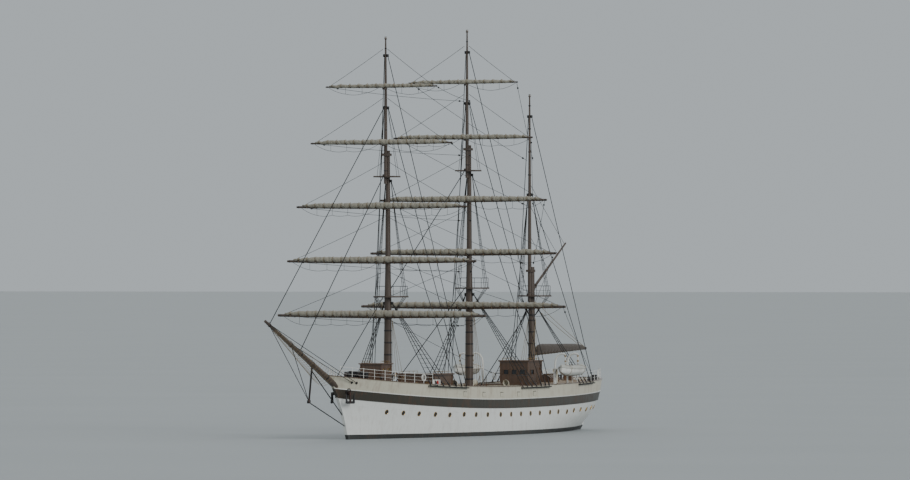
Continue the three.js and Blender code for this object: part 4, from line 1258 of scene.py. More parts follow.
    def _upper_shrouds(self, mast: Mast) -> None:
        """Sets the topmast and topgallant shrouds with their ratlines.

        Args:
            mast: the mast.
        """
        wires, ratlines = Shape(), Shape()
        for side in Side:
            head = mast.trees - 0.35 if mast.trees else mast.upper_head
            spread = [(mast.x - aft, 1.48, mast.platform + 0.05) for aft in (0.3, 0.7, 1.1)]
            x = mast.x if mast.trees else mast.x + mast.AHEAD
            group = [(mirrored(p, side), mirrored((x - 0.1, 0.26, head), side)) for p in spread]
            for foot, top in group:
                wires.rod(foot, top, 0.026, 6)
            self._rungs(ratlines, group, mast.platform + 1.0, head - 1.0)
            if mast.trees:
                for aft in (-0.2, 0.3):
                    foot = mirrored((mast.x - aft, 1.05, mast.trees + 0.05), side)
                    wires.rod(foot, mirrored((mast.x + 0.42, 0.17, mast.upper_head), side), 0.02, 6)
        wires.placed(f"{mast.name}_upper_shrouds", "wire")
        ratlines.placed(f"{mast.name}_upper_ratlines", "wire")

    def _fife_rail(self, mast: Mast) -> None:
        """Stands a rail of belaying pins beside the mast, with coils of rope and falls up the mast.

        Args:
            mast: the mast.
        """
        wood, rope = Shape(), Shape()
        x, deck = mast.x - 1.15, self.form.deck_at(mast.x, mast.name != "main")
        if mast.name == "mizzen":
            x = mast.x + 0.95
        for y in (-0.85, 0.85):
            wood.box((x - 0.09, x + 0.09), (y - 0.09, y + 0.09), (deck - 0.06, deck + 0.95))
        wood.box((x - 0.13, x + 0.13), (-1.15, 1.15), (deck + 0.82, deck + 0.92))
        pin = [(0.02, 0), (0.022, 0.26), (0.035, 0.3), (0.03, 0.45)]
        for y in np.linspace(-1.0, 1.0, 7):
            wood.turned((x, y, deck + 0.66), UP, pin, 8)
            coil_of_rope(rope, (x + 0.16 * math.copysign(1, x - mast.x), y, deck + 0.78), 0.11, 0.34)
            head = (mast.x - 0.1, math.copysign(mast.radius(12) + 0.06, y), mast.platform - 2.2)
            rope.tube(sagging((x, y, deck + 0.9), head, 0.0, 3), 0.016, 5)
        wood.placed(f"{mast.name}_fife_rail", "varnish", bevel=0.015)
        rope.placed(f"{mast.name}_falls", "rope")


def coil_of_rope(shape: Shape, hook: Point, width: float, length: float) -> None:
    """Hangs a coil of rope from a pin, as a few long turns side by side.

    Args:
        shape: what it is added to.
        hook: the pin.
        width: half the coil's width.
        length: the coil's length.
    """
    turn = round_turn(18)
    for k in (-1, 0, 1):
        wide = width * (1 - 0.12 * abs(k))
        x = np.full_like(turn, hook[0] + k * 0.028)
        y, z = hook[1] + wide * np.sin(turn) * 0.8, hook[2] - length / 2 + length / 2 * np.cos(turn)
        path = np.stack([x, y, z], 1)
        shape.tube(path, 0.018, 6, loop=True)


def dress(nodes: Iterable[str], finish: str, bevel: float) -> None:
    """Gives the frame's own nodes a finish, smooth faces and softened edges.

    Args:
        nodes: the nodes' names.
        finish: a name in FINISHES.
        bevel: the width of a soft edge, or 0.
    """
    for name in nodes:
        piece = FRAME["nodes"][name]
        mesh = piece.data
        custom = mesh.attributes.get("custom_normal")
        if custom:
            mesh.attributes.remove(custom)
        mesh.materials.clear()
        mesh.materials.append(paint(finish))
        mesh.polygons.foreach_set("use_smooth", np.ones(len(mesh.polygons), bool))
        weld = piece.modifiers.new("weld", "WELD")
        weld.merge_threshold = 1e-5
        if bevel:
            soften(piece, bevel)


@dataclass(frozen=True)
class Yard:
    """One square yard with its sail.

    Attributes:
        name: the yard's name.
        height: its height on the fore mast.
        length: from arm to arm.
        radius: of the spar at its middle.
        sail: radius of the furled sail at its middle.
        lift: how far above it its lifts are held.
    """

    name: str
    height: float
    length: float
    radius: float
    sail: float
    lift: float

    def radius_at(self, share: float) -> float:
        """Returns the spar's radius at a share of the way to the arm."""
        return self.radius * float(np.interp(share, (0.15, 0.6, 1), (1, 0.8, 0.45)))


YARDS = (
    Yard("course", 11.7, 22, 0.26, 0.33, 4.2),
    Yard("lower_topsail", 16.9, 20, 0.24, 0.3, 4.2),
    Yard("upper_topsail", 22.1, 18, 0.21, 0.29, 4.3),
    Yard("topgallant", 28.2, 15, 0.17, 0.26, 4.3),
    Yard("royal", 33.6, 11.8, 0.14, 0.22, 3.6),
)

# For each mast, where along its braces lead to, and the height there for each yard
BRACE_LEADS = {
    "fore": (
        0.5,
        {"course": 10.6, "lower_topsail": 15.9, "upper_topsail": 20.9, "topgallant": 27.3, "royal": 32.6},
    ),
    "main": (
        -14.3,
        {"course": 5.6, "lower_topsail": 12.4, "upper_topsail": 16.6, "topgallant": 22.5, "royal": 27.0},
    ),
}


@dataclass
class SquareYards:
    """The square yards, each with its furled sail, gaskets, footropes, lifts and braces.

    Attributes:
        pivot: distance of the yards' pivots before the mast.
        ahead: distance of the spar before its pivot.
        gasket_step: distance between gaskets.
        drop: depth of the footropes.
        reach: share of the yard's length from its middle to where lifts and sail end.
    """

    pivot: float = 0.98
    ahead: float = 0.5
    gasket_step: float = 0.92
    drop: float = 0.85
    reach: float = 0.465

    def build(self) -> None:
        """Makes the yards of both square-rigged masts."""
        for mast in MASTS[:2]:
            for index, yard in enumerate(YARDS):
                self._yard(mast, yard, index)

    def _yard(self, mast: Mast, yard: Yard, index: int) -> None:
        """Makes one yard with all that hangs on it.

        Args:
            mast: the mast that carries it.
            yard: the yard.
            index: its place among the mast's yards.
        """
        name = f"{mast.name}_{yard.name}"
        centre = np.array((mast.x + self.pivot + self.ahead, 0.0, yard.height + mast.raised))
        self._spar(name, mast, yard, centre)
        seed = index + 10 * MASTS.index(mast)
        half = yard.length * self.reach
        bundle = Bundle(np.random.default_rng(seed), half, yard.sail, self.gasket_step)
        middle = centre + (0.1, 0, yard.radius * 0.9)
        rings = bundle.swollen(bundle.rings(middle))
        sail = Shape().grid(rings, closed=True, caps=True).placed(f"{name}_sail", "sail", name, angle=75)
        gaskets = Shape()
        for y in bundle.ties:
            size = yard.radius_at(abs(y) / (yard.length / 2))
            discs = ((centre, size + 0.012), (middle, bundle.radius_at(y) * 0.86 + 0.02))
            gaskets.tube(round_discs(discs, y), 0.017, 5, loop=True)
        gaskets.placed(f"{name}_gaskets", "rope", name)
        self._footropes(name, yard, centre)
        self._lifts(name, mast, yard, centre)
        self._braces(name, mast, yard, centre)

    def _spar(self, name: str, mast: Mast, yard: Yard, centre: np.ndarray) -> None:
        """Makes the spar with its hoops, the jackstay and the truss that holds it.

        Args:
            name: the yard's name in the frame.
            mast: not used.
            yard: the yard.
            centre: the spar's middle.
        """
        arm, radius = yard.length / 2, yard.radius
        stations = [(0.45, 1.0), (0.5, 0.97), (0.8, 0.6), (1.0, 0.15)]
        half = [(radius * share, arm * at) for share, at in stations]
        profile = [(r, arm - y) for r, y in half] + [(r, arm + y) for r, y in reversed(half)]
        spar = Shape().turned(centre - (0, arm, 0), (0, 1, 0), profile, 20)
        pin = centre - (self.ahead, 0, 0)
        spar.turned(pin - (0, 0, 0.119), UP, [(0.17, 0), (0.17, 0.239)], 20)
        spar.box((pin[0], centre[0]), (-0.1, 0.1), (pin[2] - 0.1, pin[2] + 0.1))
        spar.placed(f"{name}_spar", "spar", name, [f"{name}_yard"], bevel=0.01)
        iron = Shape()
        for share in (0.06, 0.5, 0.9, 0.98):
            for side in Side:
                size, ring = yard.radius_at(share) + 0.014, centre + (0, arm * share * side.value, 0)
                iron.turned(ring, (0, 1, 0), [(size, 0), (size, 0.09)], 20)
        bar, places = centre + (-0.1, 0, 0), np.linspace(-arm * 0.94, arm * 0.94, 25)
        rail = [bar + (0, y, yard.radius_at(abs(y) / arm) + 0.06) for y in places]
        iron.tube(rail, 0.017, 6)
        iron.placed(f"{name}_hoops", "iron", name)

    def _footropes(self, name: str, yard: Yard, centre: np.ndarray) -> None:
        """Hangs the footropes behind the yard from stirrups.

        Args:
            name: the yard's name in the frame.
            yard: the yard.
            centre: the spar's middle.
        """
        shape = Shape()
        arm, drop = yard.length / 2, self.drop * min(1, 0.55 + yard.radius * 1.8)
        for side in Side:
            stops = np.linspace(0.35, arm * 0.95, max(3, round(arm / 1.9) + 1))
            downs = [0.1, *[drop] * (len(stops) - 2), 0.1]
            hang = [centre + (-0.14, y * side.value, -down) for y, down in zip(stops, downs)]
            for a, b in zip(hang, hang[1:]):
                shape.tube(sagging(a, b, 0.1, 8), 0.018, 5)
            for point in hang[1:-1]:
                shape.rod(point, (point[0], point[1], centre[2]), 0.014, 5)
        shape.placed(f"{name}_footropes", "wire", name)

    def _lifts(self, name: str, mast: Mast, yard: Yard, centre: np.ndarray) -> None:
        """Runs a lift from each arm to the mast.

        Args:
            name: the yard's name in the frame.
            mast: the mast that carries it.
            yard: the yard.
            centre: the spar's middle.
        """
        for side in Side:
            end = centre + (0, yard.length * self.reach * side.value, yard.radius * 0.5)
            z = centre[2] + yard.lift
            held = (mast.x + (0.28 if z < 27.5 + mast.raised else 0.6), 0.24 * side.value, z)
            lift = Shape().tube(sagging(held, end, 0.05, 24), 0.02, 6)
            across(lift, f"{name}_lift_{side.label}", "wire", name, held, end)

    def _braces(self, name: str, mast: Mast, yard: Yard, centre: np.ndarray) -> None:
        """Leads a brace from each arm aft to the next mast or the quarter.

        Args:
            name: the yard's name in the frame.
            mast: the mast that carries it.
            yard: the yard.
            centre: the spar's middle.
        """
        after, heights = BRACE_LEADS[mast.name]
        for side in Side:
            arm = centre + (-0.12, yard.length * 0.485 * side.value, 0.0)
            held = (after + 0.42, 0.34 * side.value, heights[yard.name])
            if heights[yard.name] < 8:
                held = (-17.2, 5.3 * side.value, heights[yard.name])
            brace = Shape().tube(sagging(held, arm, 0.16, 40), 0.02, 6)
            for share in (0.035, 0.93):
                self._block(brace, held, arm, share)
            across(brace, f"{name}_brace_{side.label}", "wire", name, held, arm)

    def _block(self, shape: Shape, start: Point, end: Point, share: float) -> None:
        """Adds a pulley block to a rope, at a share of its way."""
        at, run = sharing(start, end, share) - (0, 0, 0.16 * 4 * share * (1 - share)), np.subtract(end, start)
        shape.turned(at, run, [(0.02, -0.14), (0.075, -0.08), (0.09, 0.0), (0.075, 0.08), (0.02, 0.14)], 12)


def across(shape: Shape, name: str, finish: str, body: str, start: Point, end: Point) -> bpy.types.Object:
    """Places rigging that rides on no body, with its placing baked into its mesh.

    Args:
        shape: the rigging.
        name: the piece's name.
        finish: a name in FINISHES.
        body: not used.
        start: not used.
        end: not used.

    Returns:
        The new object.
    """
    piece = shape.placed(name, finish)
    piece.parent = None
    del piece["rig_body"]
    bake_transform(piece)
    return piece


def round_discs(discs: Iterable[tuple[np.ndarray, float]], y: float, steps: int = 28) -> np.ndarray:
    """Returns the line drawn tight round discs across Y, as (centre, radius) each.

    Args:
        discs: centre and radius of each.
        y: the line's place across.
        steps: its number of points.

    Returns:
        The line's points.
    """
    path = []
    for turn in round_turn(steps):
        way = np.array((math.cos(turn), 0.0, math.sin(turn)))
        centre, radius = max(discs, key=lambda disc: disc[0] @ way + disc[1])
        point = centre + way * radius
        path.append((point[0], y, point[2]))
    return np.array(path)


CANVAS = {
    "quality": 5,
    "mass": 0.25,
    "tension_stiffness": 20,
    "compression_stiffness": 20,
    "shear_stiffness": 6,
    "bending_stiffness": 0.25,
    "tension_damping": 10,
    "compression_damping": 10,
    "air_damping": 2,
    "vertex_group_mass": "held",
    "shrink_min": -0.07,
    "shrink_max": -0.07,
    "use_pressure": True,
    "uniform_pressure_force": 5.5,
}


class Bundle:
    """A furled sail: a roll of cloth in gaskets, with folds running along it."""

    def __init__(self, rng: np.random.Generator, half: float, radius: float, tie_step: float) -> None:
        """Plans the roll.

        Args:
            rng: source of the folds.
            half: half length of the roll.
            radius: radius at its middle.
            tie_step: distance between gaskets.
        """
        self.half, self.radius = half, radius
        count = max(4, round(2 * half * 0.94 / tie_step))
        self.ties = np.linspace(-half * 0.94, half * 0.94, count + 1)
        self.rng = rng

    def radius_at(self, y: float | np.ndarray) -> float | np.ndarray:
        """Returns the roll's radius at a place across, without folds."""
        shares, sizes = (0, 0.22, 0.8, 0.97, 1), (1, 0.86, 0.78, 0.4, 0.2)
        return self.radius * np.interp(np.abs(y) / self.half, shares, sizes)

    def _drift(self, y: np.ndarray, pace: float) -> np.ndarray:
        """Returns a smooth random value along the roll."""
        knots = np.linspace(y[0], y[-1], max(4, int(2 * self.half / pace)))
        return np.interp(y, knots, self.rng.uniform(-1, 1, len(knots)).cumsum() * 0.8)

    def swollen(self, rings: np.ndarray, steps: int = 20) -> np.ndarray:
        """Lets the roll's cloth swell between its gaskets by a cloth simulation.

        Args:
            rings: rings of points round the roll.
            steps: frames that the cloth moves for.
        """
        count, sides, _ = rings.shape
        mesh = bpy.data.meshes.new("roll")
        faces = [face[::-1] for face in Shape().grid(rings, closed=True).faces]
        mesh.from_pydata((rings.reshape(-1, 3) * SCALE).tolist(), [], faces)
        roll = bpy.data.objects.new("roll", mesh)
        scene = bpy.context.scene
        scene.collection.objects.link(roll)
        tied = np.abs(rings[:, :1, 1] - self.ties).min(1) < 0.06
        tied[[0, -1]] = True
        held = roll.vertex_groups.new(name="held")
        held.add(np.flatnonzero(np.repeat(tied, sides)).tolist(), 1.0, "REPLACE")
        cloth = roll.modifiers.new("cloth", "CLOTH")
        for name, value in CANVAS.items():
            setattr(cloth.settings, name, value)
        cloth.settings.effector_weights.gravity = 0.35
        cloth.collision_settings.use_collision = False
        for frame in range(1, steps + 1):
            scene.frame_set(frame)
        points = np.empty(count * sides * 3, np.float32)
        settled = roll.evaluated_get(bpy.context.evaluated_depsgraph_get())
        settled.data.vertices.foreach_get("co", points)
        bpy.data.objects.remove(roll)
        scene.frame_set(1)
        rested = points.reshape(rings.shape) / SCALE
        LOG.info("a roll of %d rings swelled by up to %.3f m", count, np.abs(rested - rings).max())
        return rested

    def rings(self, centre: np.ndarray, sides: int = 36) -> np.ndarray:
        """Returns rings of points round the roll, which lies along Y.

        Args:
            centre: its middle.
            sides: points round it.

        Returns:
            The rings, from starboard to port.
        """
        y = np.linspace(-self.half, self.half, int(self.half * 26))
        turn = round_turn(sides)
        gap = np.abs(y[:, None] - self.ties[None]).min(1)
        slack = (1 - np.exp(-((gap / 0.13) ** 2)))[:, None]
        folds = np.zeros((len(y), sides))
        for waves, depth, pace in ((2.0, 0.13, 1.3), (3.5, 0.1, 0.8), (6.5, 0.05, 0.5)):
            phase = self._drift(y, pace)[:, None] * 1.6
            folds += depth * (0.55 - np.abs(np.sin(waves * turn[None] + phase)))
        puckers = 0.035 * np.sin(turn[None] * 11 + y[:, None] * 3) * (1 - slack)
        lumps = 1 + 0.07 * self._drift(y, 0.7)[:, None].clip(-1, 1)
        plain = self.radius_at(y)[:, None]
        size = plain * ((0.8 + 0.16 * slack) * lumps + folds * (0.35 + 0.65 * slack) + puckers)
        size = np.minimum(size, plain * 1.06)
        x = centre[0] + size * np.cos(turn)
        z = centre[2] + size * np.sin(turn) * 0.94 - 0.03 * slack
        return np.stack([x, np.broadcast_to(y[:, None], x.shape), z], 2)


@dataclass
class AfterSails:
    """The spanker's boom and gaff, its covered sail and the gear that holds them.

    Attributes:
        pivot_x: place along of both pivots.
        boom_height: height of the boom's pivot.
        boom_rise: its angle above level, in degrees.
        boom_radius: its radius at the pivot.
        boom_taper: how much its radius falls for each metre.
        gaff_height: height of the gaff's pivot.
        gaff_rise: its angle above level, in degrees.
        cover_ends: where the cover starts and ends along the boom.
        cover_cut: not used.
    """

    pivot_x: float = -14.92
    boom_height: float = 7.75
    boom_rise: float = 2
    boom_radius: float = 0.2
    boom_taper: float = 0.0048
    gaff_height: float = 14.4
    gaff_rise: float = 30
    cover_ends: tuple[float, float] = (0.6, 11.8)
    cover_cut: tuple[float, float] = (0.9, 5.7)

    def build(self) -> None:
        """Makes the fore-and-aft gear of the mizzen mast."""
        dress(["spanker_boom", "spanker_gaff"], "spar", 0.012)
        self._cover()
        self._boom_gear()
        self._gaff_gear()

    def along(self, distance: float, rise: float, height: float, up: float = 0.0) -> np.ndarray:
        """Returns a point on a spar that rises at an angle from its pivot.

        Args:
            distance: from the pivot, along the spar.
            rise: the spar's angle above level, in degrees.
            height: the pivot's height.
            up: distance above the spar's axis.

        Returns:
            The point.
        """
        angle = math.radians(rise)
        x = self.pivot_x - distance * math.cos(angle) - up * math.sin(angle)
        return np.array((x, 0.0, height + distance * math.sin(angle) + up * math.cos(angle)))

    def on_boom(self, distance: float, up: float = 0.0) -> np.ndarray:
        """Returns a point on the boom."""
        return self.along(distance, self.boom_rise, self.boom_height, up)

    def round_boom(self, distance: float, over: float) -> float:
        """Returns a radius that lies outside the boom's by a given amount."""
        return self.boom_radius + over - distance * self.boom_taper

    def _cover(self) -> None:
        """Drapes the cover over the furled spanker and laces its edges under the boom."""
        rng = np.random.default_rng(5)
        places = np.linspace(*self.cover_ends, 150)
        stations = (0.6, 0.9, 2, 6, 10, 11.8)
        half = np.interp(places, stations, (0.23, 0.29, 0.33, 0.3, 0.25, 0.17))
        tall = np.interp(places, stations, (0.6, 0.74, 0.79, 0.61, 0.44, 0.24))
        turn = np.linspace(math.radians(-52), math.radians(232), 45)
        knots = np.arange(0, 12.5, 0.45)
        drift = [np.interp(places, knots, rng.uniform(-1, 1, len(knots)).cumsum() * 0.5) for _ in range(3)]
        ties = np.arange(1.1, 11.6, 0.75)
        gap = np.abs(places[:, None] - ties[None]).min(1)
        pulled = np.exp(-((gap / 0.12) ** 2))
        low = np.clip(-np.sin(turn), 0, 1)
        rows = []
        for k, at in enumerate(places):
            fold = 0.035 * np.sin(4 * turn + 3 * drift[0][k])
            fold = fold + 0.02 * np.sin(9 * turn + at * 2 + 4 * drift[1][k])
            fold = fold * (1 - 0.4 * pulled[k]) + low * (0.1 - 0.17 * pulled[k])
            wide = half[k] * (1 + fold) * (1 - 0.28 * np.clip(np.sin(turn), 0, 1) ** 2)
            high = (tall[k] * 0.5 + 0.11) * (1 + fold * 0.7 + 0.03 * drift[2][k] / 2)
            rows.append(self._row(self.on_boom(at, tall[k] * 0.5), turn, wide, high))
        first, last = self.cover_ends
        ends = self._gathered(rows[0], turn, first, 1)[::-1], self._gathered(rows[-1], turn, last, -1)
        cover = Shape().grid(np.array([*ends[0], *rows, *ends[1]]))
        piece = cover.placed("spanker_cover", "cover", "spanker_boom", ["furled_spanker"], angle=75)
        laces = Shape()
        under = np.linspace(math.radians(-28), math.radians(-152), 14)
        for at in ties:
            row, size = rows[int(np.argmin(np.abs(places - at)))], self.round_boom(at, 0.015)
            laces.tube([row[1], *self._row(self.on_boom(at), under, size, size), row[-2]], 0.014, 5)
        laces.placed("spanker_cover_lacing", "rope", "spanker_boom")

    def _row(self, centre: np.ndarray, turn: np.ndarray, wide: object, high: object) -> np.ndarray:
        """Returns points round a centre, at angles, as far out across and up as is given."""
        x = np.full(len(turn), centre[0])
        return np.stack([x, wide * np.cos(turn), centre[2] + high * np.sin(turn)], 1)

    def _gathered(self, row: np.ndarray, turn: np.ndarray, at: float, way: int) -> list[np.ndarray]:
        """Returns rows that gather an end of the cover round the boom.

        Args:
            row: the cover's last row.
            turn: angle of each of its points round the cover.
            at: the row's distance along the boom.
            way: 1 to gather it forward, -1 aft.

        Returns:
            Three rows, the last of them close round the boom.
        """
        size = self.round_boom(at, 0.022)
        neck = self._row(self.on_boom(at), turn, size, size)
        pleats = 0.02 * np.sin(turn * 14)[:, None] * (0, 1, 1)
        rows = []
        for share, ahead in ((0.3, 0.05), (0.75, 0.08), (1.0, 0.13)):
            rows.append(sharing(row, neck + pleats * (share < 1), share) + (way * ahead, 0, 0))
        return rows

    def _boom_gear(self) -> None:
        """Sets the boom's hoops and its topping lifts."""
        iron = Shape()
        for at in (1.0, 5.0, 9.0, 12.3):
            size = self.round_boom(at, 0.014)
            iron.turned(self.on_boom(at), (-1, 0, 0.035), [(size, 0), (size, 0.1)], 20)
        iron.placed("spanker_boom_hoops", "iron", "spanker_boom")
        for side in Side:
            start = (-14.55, 0.36 * side.value, 12.9)
            end = self.on_boom(12.1, 0.1) + (0, 0.16 * side.value, 0)
            shape = Shape().tube(sagging(start, end, 0.12, 30), 0.022, 6)
            across(shape, f"topping_lift_{side.label}", "rope", "spanker_boom", start, end)

    def _gaff_gear(self) -> None:
        """Runs the gaff's peak halyards up to the topmast."""
        for index, (out, z) in enumerate(((3.6, 19.4), (6.4, 22.4), (8.4, 24.6))):
            start, end = (-13.98, 0, z), self.along(out, self.gaff_rise, self.gaff_height, 0.13)
            shape = Shape().tube(sagging(start, end, 0.04, 20), 0.02, 6)
            across(shape, f"peak_halyard_{index}", "wire", "spanker_gaff", start, end)


@dataclass
class HeadGear:
    """The bowsprit with its bands, net and guys, and the stays.

    Attributes:
        form: the hull's surface.
        heel: place along and height of the bowsprit's inner end.
        tip: the same of its outer end.
        radius: its radius at the heel.
        taper: how much its radius falls for each metre along the ship.
        net: where the net starts and ends along the ship.
    """

    form: HullForm
    heel: tuple[float, float] = (29.6, 4.75)
    tip: tuple[float, float] = (45.4, 11.3)
    radius: float = 0.34
    taper: float = 0.0123
    net: tuple[float, float] = (33.2, 43.6)

    def build(self) -> None:
        """Makes what is on and round the bowsprit."""
        dress(["bowsprit"], "spar", 0.02)
        dress(["dolphin_striker"], "iron", 0.0)
        stays = [n for n in FRAME["nodes"] if n.endswith("_stay")]
        dress(stays, "wire", 0.0)
        self._bands()
        self._net()
        self._guys()

    def at(self, x: float, y: float = 0.0, up: float = 0.0) -> np.ndarray:
        """Returns a point beside the bowsprit's axis."""
        (x0, z0), (x1, z1) = self.heel, self.tip
        return np.array((x, y, z0 + (x - x0) * (z1 - z0) / (x1 - x0) + up))

    def _bands(self) -> None:
        """Sets iron bands with their eyes round the bowsprit."""
        shape, axis = Shape(), self.at(1) - self.at(0)
        for x in (32.6, 35.5, 38.0, 40.0, 42.4, 44.5):
            size = self.radius - self.taper * (x - self.heel[0]) + 0.02
            shape.turned(self.at(x), axis, [(size, -0.07), (size, 0.07)], 24)
            shape.ring(self.at(x, 0, size + 0.05), (0, 1, 0), 0.06, 0.02, 12)
        shape.placed("bowsprit_bands", "iron")

    def _net(self) -> None:
        """Hangs a net under the bowsprit."""
        shape, rows = Shape(), []
        start, end = self.net
        for x in np.linspace(start, end, 27):
            wide = 1.15 * (1 - (x - start) / (end - start)) + 0.22
            shares = np.linspace(-1, 1, 9)
            rows.append(np.array([self.at(x, wide * s, -0.05 - 0.75 * (1 - s * s) * wide) for s in shares]))
            shape.tube(rows[-1], 0.011, 4)
        for column in np.array(rows).transpose(1, 0, 2):
            shape.tube(column, 0.012, 4)
        shape.placed("bowsprit_net", "rope")

    def _guys(self) -> None:
        """Runs the guys from the bowsprit's end to eye plates on the bows."""
        shape, plates = Shape(), Shape()
        for side in Side:
            for x, back in ((44.4, 28.6), (40.0, 29.2)):
                at, out = self.form.near(back, 5.35, side)
                plates.turned(at - out * 0.02, out, [(0.14, 0), (0.14, 0.04), (0.05, 0.06)], 16)
                plates.ring(at + out * 0.09, UP, 0.06, 0.02, 12)
                shape.rod(self.at(x, 0.16 * side.value), at + out * 0.1, 0.028, 6)
        shape.placed("bowsprit_guys", "wire")
        plates.placed("bowsprit_guy_plates", "iron")


# On deck


@dataclass
class Houses:
    """The deckhouses with their windows, doors and rails, the hatch and the skylight.

    Attributes:
        form: the hull's surface.
        sill: height of the chart house windows' lower edge.
        head: height of their upper edge.
        skylight: where the skylight starts and ends along the ship.
        lid_top: height of the battens on the hatch lid.
    """

    form: HullForm
    sill: float = 5.713
    head: float = 6.213
    skylight: tuple[float, float] = (-19.6, -17.4)
    lid_top: float = 4.405

    def build(self) -> None:
        """Dresses the frame's houses and adds what is fixed to them."""
        doors = [n for n in FRAME["nodes"] if "_door" in n]
        houses = ["fore_house", "chart_house", "companion", "mid_hatch", "mid_hatch_lid"]
        dress([*houses, *doors], "house", 0.012)
        self._chart_windows()
        self._ports()
        self._trim()
        self._door_furniture()
        self._skylight()
        self._hatch_cover()

    def _chart_windows(self) -> None:
        """Glazes the chart house's windows and frames them in varnished wood."""
        glass, frame = Shape(), Shape()
        pane = (self.sill - 0.01, self.head + 0.01)
        for y in (-0.9, 0.0, 0.9):
            glass.box((-10.15, -10.13), (y - 0.31, y + 0.31), pane)
            self._frame(frame, (-10.09, y), (0.0, 1.0), 0.3)
        for side in Side:
            y = 1.46 * side.value
            glass.box((-11.51, -10.79), sorted((y, y - 0.02)), pane)
            self._frame(frame, (-11.15, 1.51 * side.value), (1.0, 0.0), 0.35)
        glass.placed("chart_house_glass", "glass")
        frame.placed("chart_house_window_frames", "varnish", bevel=0.008)

    def _frame(self, shape: Shape, middle: Point, along: Point, half: float) -> None:
        """Adds a window frame on a wall.

        Args:
            shape: what it is added to.
            middle: place along and across of the window's middle.
            along: the wall's direction.
            half: half the window's width.
        """
        x, y = middle
        dx, dy = along[0] * half, along[1] * half
        for z in (self.sill, self.head):
            shape.beam((x - dx * 1.15, y - dy * 1.15, z), (x + dx * 1.15, y + dy * 1.15, z), 0.06, 0.06)
        for s in (-1, 1):
            shape.beam((x + dx * s, y + dy * s, self.sill), (x + dx * s, y + dy * s, self.head), 0.06, 0.06)

    def _ports(self) -> None:
        """Sets round ports in the walls of the houses and the companion."""
        rims, panes = Shape(), Shape()
        places = [((x, 1.9 * s.value, 5.0), (0, s.value, 0)) for s in Side for x in (9.3, 10.55, 11.8)]
        places += [((x, 1.1 * s.value, 6.5), (0, s.value, 0)) for s in Side for x in (21.1, 22.1)]
        places += [((12.6, y, 5.0), (1, 0, 0)) for y in (-1.1, 0, 1.1)]
        places += [((-13.3, y, 6.0), (-1, 0, 0)) for y in (-0.7, 0.7)]
        for at, out in places:
            at, out = np.array(at, float), np.array(out, float)
            rims.ring(at + out * 0.01, out, 0.2, 0.032)
            panes.turned(at - out * 0.01, out, [(0.19, 0), (0.19, 0.022)], 20)
        rims.placed("house_port_rims", "brass")
        panes.placed("house_port_glass", "glass")

    def _trim(self) -> None:
        """Runs mouldings under the roofs' edges, corner posts and handrails."""
        trim, rail = Shape(), Shape()
        for x, half, top, tall in (
            ((8.5, 12.6), 1.9, 5.95, 1.9),
            ((-13.3, -10.1), 1.5, 7.0, 1.85),
            ((20.6, 22.7), 1.1, 7.05, 0.8),
        ):
            edges = self._corners(x, half, 0.16, top + 0.07)
            for a, b in zip(edges, edges[1:]):
                trim.beam(a, b, 0.05, 0.1)
            for px, py, _ in self._corners(x, half, 0.0, top)[:4]:
                trim.box((px - 0.06, px + 0.06), (py - 0.06, py + 0.06), (top - tall - 0.1, top))
            corners = self._corners(x, half, -0.15, top + 0.32)
            for a, b in zip(corners, corners[1:]):
                if abs(a[1] - b[1]) > 0.1:
                    continue
                rail.tube([a, b], 0.022)
                for t in np.linspace(0, 1, 5):
                    foot = sharing(a, b, t)
                    rail.rod((foot[0], foot[1], top + 0.08), foot, 0.016)
        trim.placed("house_mouldings", "varnish", bevel=0.01)
        rail.placed("house_handrails", "brass")

    def _corners(self, x: Point, half: float, out: float, z: float) -> list[tuple[float, float, float]]:
        """Returns the five corners that close a house's outline at a height."""
        low, high, wide = x[0] - out, x[1] + out, half + out
        return [(low, -wide, z), (low, wide, z), (high, wide, z), (high, -wide, z), (low, -wide, z)]

    def _door_furniture(self) -> None:
        """Puts panels and handles on the doors. They ride on them."""
        places = {
            "fore_house_door": ((8.46, 0.0), (0, 1), (-1, 0)),
            "chart_house_door_port": ((-12.55, 1.54), (1, 0), (0, 1)),
            "chart_house_door_starboard": ((-12.55, -1.54), (1, 0), (0, -1)),
        }
        handle = [(0.035, 0), (0.012, 0.015), (0.012, 0.04), (0.03, 0.05), (0.026, 0.075)]
        for door, ((x, y), along, out) in places.items():
            low, top = (corner[2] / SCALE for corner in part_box(door))
            face = np.array((x + out[0] * -0.04, y + out[1] * -0.04, 0.0))
            way, away = np.array((*along, 0.0)), np.array((*out, 0.0))
            knob = face + way * 0.27 + away * 0.01 + (0, 0, low + 0.85)
            Shape().turned(knob, away, handle, 12).placed(f"{door}_knob", "brass", door)
            panels = Shape()
            for a, b in ((low + 0.12, low + 0.72), (low + 0.95, top - 0.15)):
                outline = ((-1, a), (1, a), (1, b), (-1, b), (-1, a))
                corners = [face + way * s * 0.24 + (0, 0, z) + away * 0.004 for s, z in outline]
                for p, q in zip(corners, corners[1:]):
                    panels.beam(p, q, 0.035, 0.02)
            panels.placed(f"{door}_panels", "varnish", door)

